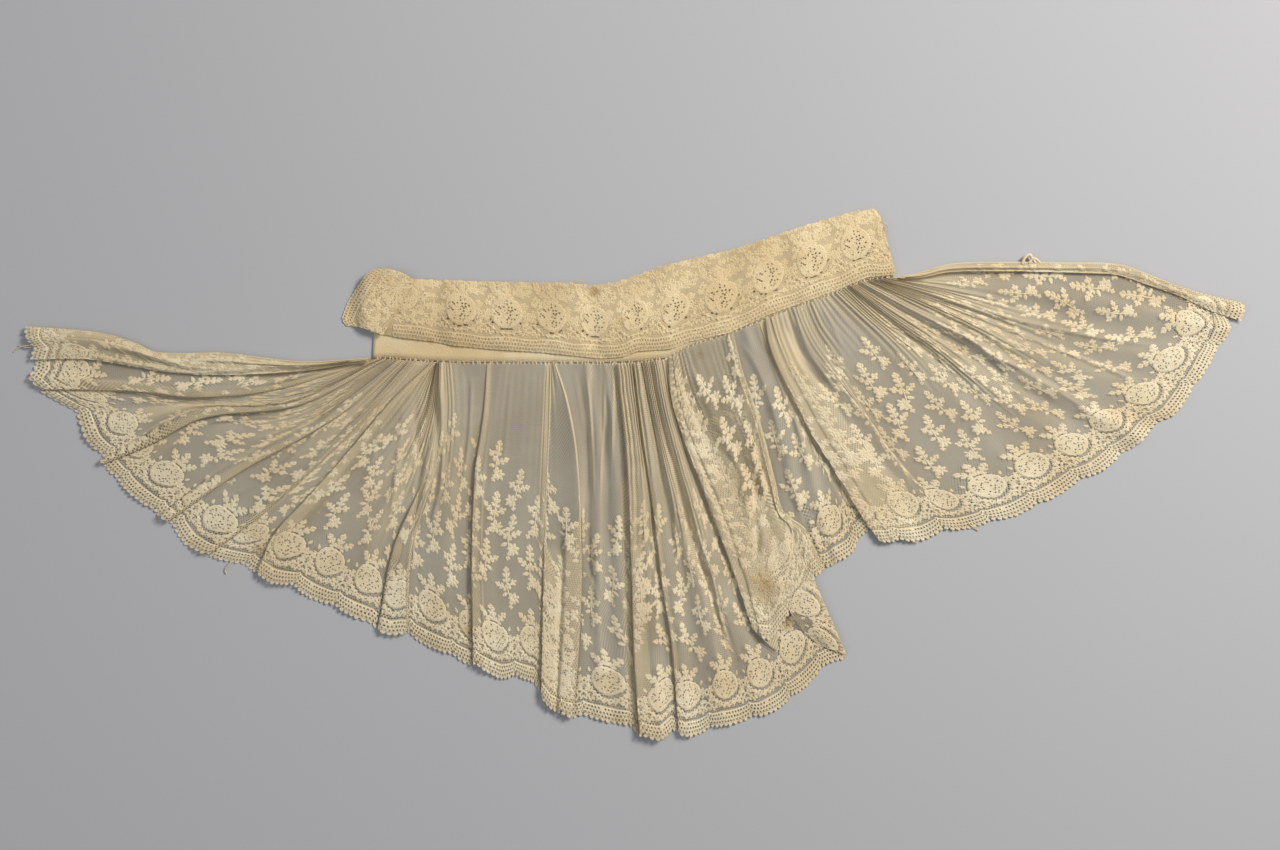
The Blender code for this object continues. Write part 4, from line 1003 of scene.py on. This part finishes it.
def sprig_motif(side, leaf_side):
    """A small branch: a lobed leaf at its tip, leaves to both sides, a flower and a short tail below."""
    motif = Motif()
    add_stem(motif, [(1.6 * side, -10.0), (0.8 * side, -5.0), (0.0, 0.0), (-0.2 * side, 5.0)], 0.9)
    add_spray(motif, -0.2 * side, 3.4, 10.2, 6.2, 90 + 3 * side)
    add_spray(motif, 0.2 * leaf_side, -0.8, 9.4, 5.0, 90 - 60 * leaf_side)
    add_spray(motif, -0.2 * leaf_side, 0.2, 7.8, 4.6, 90 + 58 * leaf_side, pairs=2)
    add_petal(motif, 0.4 * side, -3.4, 5.0, 2.6, 90 + 112 * side)
    for petal in range(7):
        add_petal(motif, 3.4 * side, -7.4, 4.7 - 0.5 * (petal % 2), 2.5, 16 + petal * 360 / 7, 0.6)
    add_spray(motif, 1.4 * side, -9.4, 5.0, 3.4, -90 - 14 * side, pairs=2)
    return motif


def lay_on(surface, pieces, hem_cut):
    """Mesh arrays for motifs laid on a surface; faces past its ends, its seam or its cut hem are left out."""
    points, all_faces = joined(pieces)
    depth = np.interp(points[:, 0], surface.u, surface.depth)
    laid, seen, out = surface.place(points[:, 0], np.clip(points[:, 1], hem_cut, depth), points[:, 2])
    out |= (points[:, 1] > depth) | (points[:, 1] < hem_cut)
    for hole in HOLES:
        out |= np.hypot(laid[:, 0] - hole.x, laid[:, 1] - hole.y) < hole.radius
    faces = [face for face in all_faces if seen[list(face)].all() and not out[list(face)].all()]
    return laid, faces, points[:, :2]


def joined(parts):
    """Several parts in one: each is its points, its faces and, where it has them, its flat places."""
    faces, start = [], 0
    for points, part_faces, *_ in parts:
        faces += [tuple(index + start for index in face) for face in part_faces]
        start += len(points)
    points, _, *flat = zip(*parts)
    return np.concatenate(points), faces, *(np.concatenate(places) for places in flat)


def doubled_share(regions, x, y):
    """1 where the lace lies double, 0 where it is single, with soft edges."""
    share = np.zeros(np.shape(x))
    for region in regions:
        left, right = (np.interp(y, *zip(*sorted((b, a) for a, b in path))) for path in region)
        top = min(region.left[-1][1], region.right[-1][1])
        inside = ease((x - left) / 2.0) * ease((right - x) / 2.0) * ease((top - y) / 10.0)
        share = np.maximum(share, inside)
    return share


def flounce_pattern(surface, seed, raised, doubled, last_disc, alone, filled, plain, sprig_top):
    """The motifs of a stretch of flounce lace: a border along the hem and rows of sprigs above it."""
    rng = np.random.default_rng(seed)
    first, last = math.floor(surface.u[0] / REPEAT) - 1, math.ceil(surface.u[-1] / REPEAT) + 2
    numbers = range(first, last + 1)
    pieces = [
        (border if number <= last_disc else border_fill).moved(number * REPEAT, -raised) for number in numbers
    ]
    if alone:
        middle = surface.flat_spot(*alone)
        pieces.append(wide_medallion.moved(*middle))
    for row, v in enumerate(SPRIG_ROWS):
        for number in numbers:
            for layer in range(2 if doubled else 1):
                u = (number + 0.5 * ((row + layer + 1) % 2)) * REPEAT
                depth = float(np.interp(u, surface.u, surface.depth))
                x, y, _ = surface.place(np.array([u]), np.array([v]), np.zeros(1))[0][0]
                if v > depth - plain or layer and doubled_share(doubled, x, y) < 0.5:
                    continue
                if sprig_top and y > np.interp(x, *zip(*sprig_top)):
                    continue
                if alone and math.dist(middle, (u, v)) < ALONE_ROOM:
                    continue
                turn, size = rng.uniform(-12, 6), rng.uniform(0.92, 1.04)
                shift = rng.uniform(-1.2, 1.2, 2)
                sprig = sprigs[(row + 2 * number + layer) % 3]
                pieces.append(sprig.moved(u + shift[0], v + shift[1], turn, size))
    if filled:
        low, high, top = filled
        for v in np.arange(12.0, top, 3.6):
            for u in np.arange(low, high, 4.4):
                spot = u + rng.uniform(-1.2, 1.2), v + rng.uniform(-1.2, 1.2)
                pieces.append(leaf.moved(*spot, rng.uniform(0, 360), rng.uniform(0.8, 1.1)))
    return pieces


def loose_threads(node):
    """The loose threads of a node as tubes: points, faces and flat places of each."""
    tubes = []
    for thread in THREADS:
        if thread.node != node:
            continue
        path = np.array(thread.path, float)
        places = np.linspace(0.0, 1.0, THREAD_STEPS)
        heights = np.interp(places, np.linspace(0.0, 1.0, len(path)), path[:, 2])
        path = np.column_stack([path_points(path[:, :2], places), heights])
        along = np.gradient(path, axis=0)
        along /= norm(along)[:, None]
        side = np.cross(along, (0.02, 0.01, 1.0))
        side /= norm(side)[:, None]
        over = np.cross(side, along)
        turns = np.linspace(0.0, 2.0 * math.pi, THREAD_SIDES, endpoint=False)[None, :, None]
        around = np.cos(turns) * side[:, None] + np.sin(turns) * over[:, None]
        points = (path[:, None] + thread.radius * around).reshape(-1, 3)
        faces = [
            (a + turn, a + (turn + 1) % THREAD_SIDES, b + (turn + 1) % THREAD_SIDES, b + turn)
            for a, b in ((step * THREAD_SIDES, (step + 1) * THREAD_SIDES) for step in range(THREAD_STEPS - 1))
            for turn in range(THREAD_SIDES)
        ]
        tubes.append((points, faces, points[:, :2]))
    return tubes


def mesh_object(name, points, faces, flat, material):
    """A mesh object from points in millimetres, with its flat places as UVs in metres."""
    used = np.zeros(len(points), bool)
    for face in faces:
        used[list(face)] = True
    index = np.cumsum(used) - 1
    data = bpy.data.meshes.new(name)
    data.from_pydata((points[used] * MM).tolist(), [], [tuple(index[list(face)]) for face in faces])
    data.materials.append(material)
    loops = np.zeros(len(data.loops), int)
    data.loops.foreach_get("vertex_index", loops)
    data.uv_layers.new(name="UVMap").data.foreach_set("uv", (flat[used][loops] * MM).ravel())
    data.shade_smooth()
    data.update()
    return place_in_scene(name, data)


def place_in_scene(name, data):
    """A new object in the scene from its data."""
    item = bpy.data.objects.new(name, data)
    bpy.context.scene.collection.objects.link(item)
    return item


def grid_faces(columns, size):
    """Faces of a grid of points with a size down each of its columns."""
    return [
        (a + 1, a + size + 1, a + size, a)
        for start in range(0, (columns - 1) * size, size) for a in range(start, start + size - 1)
    ]


def net_object(name, surface, material, hem=True, doubled=(), opened=None):
    """The net of a stretch: its surface with flat places as UVs and its crowding as an attribute."""
    columns, size = surface.points.shape[:2]
    low = hem_edge(surface.u) if hem else np.zeros(columns)
    v = low[:, None] + (surface.depth - low)[:, None] * np.linspace(1.0, 0.0, size)[None, :]
    points, u = surface.down_columns(v)
    faces = grid_faces(columns, size)
    if opened:
        shut = ~opened(u.ravel(), v.ravel())
        faces = [face for face in faces if shut[list(face)].any()]
    item = mesh_object(name, points.reshape(-1, 3), faces, np.column_stack([u.ravel(), v.ravel()]), material)
    real_step, level_step = (norm(np.gradient(points[..., :axes], axis=0)) for axes in (3, 2))
    crowding = np.clip(np.gradient(u, axis=0) / np.maximum(real_step, 0.05) - 1.0, 0.0, 3.0) / 3.0
    crowding += STEEP_COVER * np.clip(real_step / np.maximum(level_step, 0.05) - 1.0, 0.0, 2.0)
    double = doubled_share(doubled, points[..., 0], points[..., 1])
    crowding += np.maximum(DOUBLED_COVER * double, TUCKED_COVER * surface.tucked)
    used = np.unique(faces)
    attribute = item.data.attributes.new("crowding", "FLOAT", "POINT")
    attribute.data.foreach_set("value", crowding.ravel()[used])
    return item


def cut_area(surface):
    """Flat area of a stretch in square metres."""
    flat = surface.flat_places()
    width = (np.diff(flat[:, 1:], axis=0) + np.diff(flat[:, :-1], axis=0)) / 2
    depth = (surface.depth[1:] + surface.depth[:-1])[:, None] / 2 / surface.rows
    return float((width * depth).sum()) * MM * MM


class Nodes:
    """Short calls for building a material's nodes."""

    def __init__(self, name, roughness, sheen):
        self.material = bpy.data.materials.new(name)
        self.material.use_nodes = True
        self.tree = self.material.node_tree
        self.shader = self.tree.nodes["Principled BSDF"]
        self.set(self.shader, {"Roughness": roughness, "Sheen Weight": sheen, "Specular IOR Level": 0.25})

    def new(self, kind, inputs=None):
        """A new node with its sockets set."""
        return self.set(self.tree.nodes.new("ShaderNode" + kind), inputs or {})

    def set(self, node, inputs):
        """Give a node's sockets, by name or number, a value or a link."""
        for key, value in inputs.items():
            if isinstance(value, bpy.types.NodeSocket):
                self.tree.links.new(value, node.inputs[key])
            else:
                node.inputs[key].default_value = value
        return node

    def math(self, operation, *values):
        node = self.new("Math", dict(enumerate(values)))
        node.operation = operation
        return node.outputs[0]

    def times(self, first, second):
        return self.math("MULTIPLY", first, second)

    def mix(self, factor, first, second):
        node = self.new("Mix")
        node.data_type = "RGBA"
        return self.set(node, {0: factor, 6: first, 7: second}).outputs[2]

    def noise(self, vector, scale, detail=2.0):
        return self.new("TexNoise", {"Vector": vector, "Scale": scale, "Detail": detail}).outputs["Fac"]

    def step(self, value, low, high):
        node = self.new("MapRange", {"Value": value, "From Min": low, "From Max": high})
        node.interpolation_type = "SMOOTHSTEP"
        return node.outputs[0]

    def vector_math(self, operation, first, second):
        node = self.new("VectorMath", {0: first, 1: second})
        node.operation = operation
        return node.outputs["Value" if operation == "DISTANCE" else 0]

    def place(self):
        return self.new("TexCoord").outputs["Object"]

    def flat_place(self):
        node = self.new("UVMap")
        node.uv_map = "UVMap"
        return node.outputs[0]


def cloth_colour(nodes, light, dark, mottle):
    """Aged thread colour: soft yellowing in patches, with fine unevenness, and stains; one spot is painted
    shade in a hollow.
    """
    place, colour = nodes.place(), light
    # Scale and detail of the unevenness, where it starts and is full, and its strength
    for scale, detail, low, high, strength in (
        (22.0, 3.0, 0.35, 0.68, 1.0), (170.0, 3.0, 0.40, 0.66, mottle), (900.0, 1.0, 0.35, 0.75, 0.30),
    ):
        patches = nodes.step(nodes.noise(place, scale, detail), low, high)
        colour = nodes.mix(nodes.times(patches, strength), colour, dark)
    ragged = nodes.times(nodes.math("SUBTRACT", nodes.noise(place, 130.0, 3.0), 0.5), 0.9)
    total = 0.0
    # Stains, and one spot of painted shade in the hollow under the cascade's end, darken towards a dark brown
    for stain_and_shade_spot in STAINS_AND_PAINTED_SHADE:
        away = nodes.vector_math("DISTANCE", place, (stain_and_shade_spot.x * MM, stain_and_shade_spot.y * MM, STAIN_AND_SHADE_HEIGHT))
        near = nodes.math("ADD", nodes.math("DIVIDE", away, stain_and_shade_spot.radius * MM), ragged)
        total = nodes.math("MAXIMUM", total, nodes.times(nodes.step(near, 1.0, 0.15), stain_and_shade_spot.strength))
    return place, nodes.mix(total, colour, STAIN_AND_SHADE_COLOUR)


# pinholes: how strongly the pinholes' painted shade darkens their dots
def thread_material(name, light, dark, pinholes=0.5, roughness=0.82, grain=0.35, mottle=0.25):
    """Opaque clothwork: close threads seen as a fine uneven grain, with small pinholes here and there painted
    as dark dots of painted shade.
    """
    nodes = Nodes(name, roughness, 0.25)
    place, colour = cloth_colour(nodes, light, dark, mottle)
    flat = nodes.flat_place()
    shaded_pinholes = nodes.new("TexVoronoi", {"Vector": flat, "Scale": 620.0, "Randomness": 0.7}).outputs["Distance"]
    some = nodes.step(nodes.noise(flat, 210.0), 0.42, 0.56)
    shaded_pinholes = nodes.times(nodes.times(nodes.step(shaded_pinholes, 0.30, 0.16), some), pinholes)
    threads = nodes.new("TexVoronoi", {"Vector": place, "Scale": 1300.0}).outputs["Distance"]
    height = nodes.math("ADD", threads, nodes.noise(place, 2600.0, 1.0))
    bump = nodes.new("Bump", {"Strength": grain, "Distance": 0.0004, "Height": height}).outputs[0]
    # The pinholes are painted shade: dark dots where the shadowed cloth beneath would show
    nodes.set(nodes.shader, {"Base Color": nodes.mix(shaded_pinholes, colour, PINHOLE_PAINTED_SHADE), "Normal": bump})
    return nodes.material


# rim: how strongly painted shade darkens the threads round the holes
def net_material(name, light, dark, pitch, cover, rim=0.75, mottle=0.25):
    """Bobbin net: round holes in hexagonal order, closer where the cloth is gathered; painted shade darkens
    the threads' rims round each hole.
    """
    nodes = Nodes(name, 0.85, 0.2)
    place, colour = cloth_colour(nodes, light, dark, mottle)
    u, v, _ = nodes.new("SeparateXYZ", {"Vector": nodes.flat_place()}).outputs
    row_share = math.sqrt(0.75)
    turns = 2.0 * math.pi / (pitch * MM * row_share)
    straight, slant_v, slant_u = (
        nodes.math("COSINE", nodes.times(axis, turn))
        for axis, turn in ((v, turns), (v, turns * 0.5), (u, turns * row_share))
    )
    holes = nodes.math("MULTIPLY_ADD", nodes.times(slant_v, slant_u), 2.0, straight)
    attribute = nodes.new("Attribute")
    attribute.attribute_name = "crowding"
    crowding = attribute.outputs["Fac"]
    patchy = nodes.math("MULTIPLY_ADD", nodes.noise(place, 90.0, 3.0), -1.0, 1.35)
    close = nodes.times(nodes.step(crowding, 0.04, 0.36), patchy)
    colour = nodes.mix(close, colour, DOUBLED_CREAM)
    over = nodes.math("SUBTRACT", nodes.math("MULTIPLY_ADD", crowding, 2.2, cover), holes)
    # Painted shade: the threads darken towards a dark brown round every hole, by the share rim
    colour = nodes.mix(nodes.times(nodes.step(over, 1.1, 0.1), rim), colour, HOLE_RIM_PAINTED_SHADE)
    alpha = nodes.math("MULTIPLY_ADD", over, 1.6, 0.5)
    alpha = nodes.math("MINIMUM", nodes.math("MAXIMUM", alpha, 0.0), 1.0)
    level = nodes.vector_math("MULTIPLY", place, (1.0, 1.0, 0.0))
    for hole in HOLES:
        away = nodes.vector_math("DISTANCE", level, (hole.x * MM, hole.y * MM, 0.0))
        alpha = nodes.times(alpha, nodes.step(away, (hole.radius - 0.3) * MM, (hole.radius + 0.3) * MM))
    nodes.set(nodes.shader, {"Base Color": colour, "Alpha": alpha})
    return nodes.material


def plain_material(name, colour, roughness):
    """A plain studio surface with a faint unevenness."""
    nodes = Nodes(name, roughness, 0.0)
    darker = tuple(value * 0.96 for value in colour[:3]) + (1.0,)
    shade = nodes.mix(nodes.noise(nodes.place(), 3.0), colour, darker)
    nodes.set(nodes.shader, {"Base Color": shade})
    return nodes.material


clothwork = thread_material("flounce clothwork", CREAM, CREAM_DARK, grain=0.6, mottle=0.4)
net = net_material("flounce net", NET_CREAM, NET_DARK, NET_PITCH, cover=-0.25)
doubled_net = net_material(
    "doubled flounce net", DOUBLED_CREAM, NET_DARK, NET_PITCH, cover=0.8, rim=0.6, mottle=0.5,
)
band_clothwork = thread_material(
    "neckband clothwork", IVORY, IVORY_DARK, pinholes=0.75, grain=0.6, mottle=0.45,
)
band_net = net_material(
    "neckband ground", BAND_GROUND, BAND_SHADE, BAND_PITCH, cover=1.7, rim=0.5, mottle=0.5,
)
tape_cloth = thread_material(
    "neck tape weave", TAPE_IVORY, IVORY_DARK, pinholes=0.1, roughness=0.85, grain=0.5,
)

border = border_motif()
border_fill = border_motif(disc=False)
band_pattern = band_motif()
band_fill = band_motif(disc=False)
medallion = medallion_motif()
wide_medallion = medallion_motif(wide=1.25, tall=0.68)
leaf = Motif()
add_spray(leaf, 0.0, 0.0, 5.4, 4.0, 90, pairs=2)
sprigs = (sprig_motif(1, 1), sprig_motif(1, -1), sprig_motif(-1, 1))


def dress(pieces, node, surface):
    for piece in pieces:
        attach(piece, "root")
    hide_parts(node)
    flat = surface.flat_places()
    cut_area(surface)
    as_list(pieces[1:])


def add_flounce(
    node, surface, seed, raised=0.0, doubled=(), last_disc=99, alone=None, filled=None,
    plain=PLAIN_NET, sprig_top=None,
):
    """The net and the lace pattern of one stretch of the flounce."""
    everywhere = doubled is ALL_DOUBLED
    ground = doubled_net if everywhere else net
    net_piece = net_object(node + "_net", surface, ground, not raised, () if everywhere else doubled)
    pieces = flounce_pattern(surface, seed, raised, doubled, last_disc, alone, filled, plain, sprig_top)
    pattern = lay_on(surface, pieces, 0.0 if raised else HEM_CUT)
    lace_piece = mesh_object(node + "_lace", *joined([pattern, *loose_threads(node)]), clothwork)
    dress([net_piece, lace_piece], node, surface)


left = make_surface(LEFT_FOLDS, LEFT_DISCS, LEFT_CREASES)
centre = make_surface(CENTRE_FOLDS, CENTRE_DISCS, CENTRE_CREASES)
cascade = make_surface(CASCADE_FOLDS, CASCADE_DISCS, CASCADE_CREASES)
under = make_surface(UNDER_FOLDS, UNDER_DISCS, UNDER_CREASES)
right = make_surface(RIGHT_FOLDS, RIGHT_DISCS, RIGHT_CREASES)
corner = make_surface(CORNER_FOLDS, rows=24, waves=False)
corner.u += CENTRE_LAST_DISC * REPEAT - CORNER_DISC
left_roll = make_surface(LEFT_ROLL_FOLDS, creases=LEFT_ROLL_CREASES)
right_roll = make_surface(RIGHT_ROLL_FOLDS)
strip = *(centre.flat_spot(x, STRIP_Y)[0] for x in STRIP_SIDES), STRIP_TOP

add_flounce("flounce_left", left, seed=11)
add_flounce(
    "flounce_centre", centre, seed=12, doubled=CENTRE_DOUBLED,
    last_disc=CENTRE_LAST_DISC, filled=strip, sprig_top=CENTRE_SPRIG_TOP,
)
lone_disc = CASCADE_DISCS[0][:2]
cascade.keep_even(*lone_disc, EVEN_FROM)
add_flounce(
    "flounce_cascade", cascade, seed=13, doubled=CASCADE_DOUBLED,
    last_disc=0, alone=lone_disc, plain=CASCADE_PLAIN_NET,
)
add_flounce("flounce_under_panel", under, seed=14)
add_flounce(
    "flounce_right", right, seed=15, doubled=RIGHT_DOUBLED,
)
add_flounce("flounce_turned_corner", corner, seed=16, raised=CORNER_ROLLED)
add_flounce("flounce_left_roll", left_roll, seed=17, doubled=ALL_DOUBLED)
add_flounce("flounce_right_roll", right_roll, seed=18, doubled=ALL_DOUBLED)

band = band_surface(LACE_LINE, NECK_LINE, rows=44, step=1.3, inset=0.0, height=band_lace_height)
band.fit_discs(BAND_DISCS)
turned_end = make_surface(TURNED_END_FOLDS, rows=30, waves=False, carried=over_the_band)
turned_end.u += TURNED_END_START


def band_open(u, v):
    """Where the band's ground is open: behind the discs' pinholes, and round their lower halves."""
    across = (u + REPEAT / 2) % REPEAT - REPEAT / 2
    away = np.hypot(across, v - DISC_HEIGHT)
    inside = away < BAND_DISC_RADIUS * 0.74
    crescent = (away > BAND_DISC_RADIUS - 0.2) & (away < BAND_DISC_RADIUS + 1.5) & (v < DISC_HEIGHT - 2.0)
    return (inside | crescent) & (u > -REPEAT / 2)


def add_band_lace(node, surface, numbers, fills, opened=None):
    """Dense lace of the neckband: its ground, and its pattern with and without discs."""
    ground = net_object(node + "_ground", surface, band_net, hem=False, opened=opened)
    repeats = [band_pattern.moved(number * REPEAT, 0.0) for number in numbers]
    repeats += [band_fill.moved(number * REPEAT, 0.0) for number in fills]
    repeats.append(medallion.moved(*surface.flat_spot(*END_DISC), 0.0, 1.08))
    parts = [lay_on(surface, repeats, 0.0), *loose_threads(node)]
    pattern = mesh_object(node + "_pattern", *joined(parts), band_clothwork)
    dress([ground, pattern], node, surface)


def add_tape():
    """The woven tape under the neckband's lace, with the stitches that hold the gathers along its edge."""
    surface = band_surface(SEAM_LINE, NECK_LINE, rows=12, step=2.0, inset=TAPE_INSET, height=tape_height)
    shut = np.pad(surface.points, ((1, 1), (1, 1), (0, 0)), mode="edge")
    shut[0, :, 2] = shut[-1, :, 2] = shut[:, 0, 2] = shut[:, -1, 2] = TAPE_UNDERSIDE
    corners = shut.reshape(-1, 3)
    tape = mesh_object("neck_tape_cloth", corners, grid_faces(*shut.shape[:2]), corners[:, :2], tape_cloth)
    rng = np.random.default_rng(5)
    stitches = Motif()
    for x in np.arange(-154.0, 154.0, STITCH_STEP):
        y = seam(x)[1]
        length = rng.uniform(2.0, 3.2)
        add_petal(stitches, x + rng.uniform(-0.6, 0.6), y - 1.0, length, 1.0, 90 + rng.uniform(-25, 30), 0.45)
    points = np.array(stitches.points) + (0.0, 0.0, TAPE_THICK)
    stitching = mesh_object("neck_tape_stitches", points, stitches.faces, points[:, :2], band_clothwork)
    dress([tape, stitching], "neck_tape", surface)


add_tape()
add_band_lace("neckband_lace", band, range(0, 11), (-1,), band_open)
add_band_lace("neckband_turned_end", turned_end, (), range(9, 12))


def add_floor():
    """The plain pale surface that the jabot lies on."""
    corners = FLOOR_REACH * np.array([(-1, -1, 0), (1, -1, 0), (1, 1, 0), (-1, 1, 0)], float)
    grey = plain_material("studio floor", FLOOR_GREY, 0.9)
    mesh_object("floor", corners, [(0, 1, 2, 3)], corners[:, :2], grey)


def add_light(name, place, size, power, colour):
    """A soft square light aimed at the middle of the jabot."""
    data = bpy.data.lights.new(name, "AREA")
    data.shape = "SQUARE"
    data.size = size
    data.energy = power
    data.color = colour
    light = place_in_scene(name, data)
    light.location = place
    light.rotation_euler = (-light.location).to_track_quat("-Z", "Y").to_euler()


def add_camera():
    """A camera straight above, framed as in the photograph."""
    data = bpy.data.cameras.new("camera")
    data.sensor_width = 36.0
    data.lens = data.sensor_width * CAMERA_PLACE[2] / PICTURE_WIDTH
    camera = place_in_scene("camera", data)
    camera.location = CAMERA_PLACE
    bpy.context.scene.camera = camera


def add_world():
    """Soft light from all sides."""
    world = bpy.data.worlds.new("studio")
    world.use_nodes = True
    background = world.node_tree.nodes["Background"].inputs
    background["Color"].default_value = WORLD_COLOUR
    background["Strength"].default_value = WORLD_STRENGTH
    bpy.context.scene.world = world


add_floor()
for light in LIGHTS:
    add_light(*light)
add_world()
add_camera()
bpy.context.scene.view_settings.view_transform = "Standard"
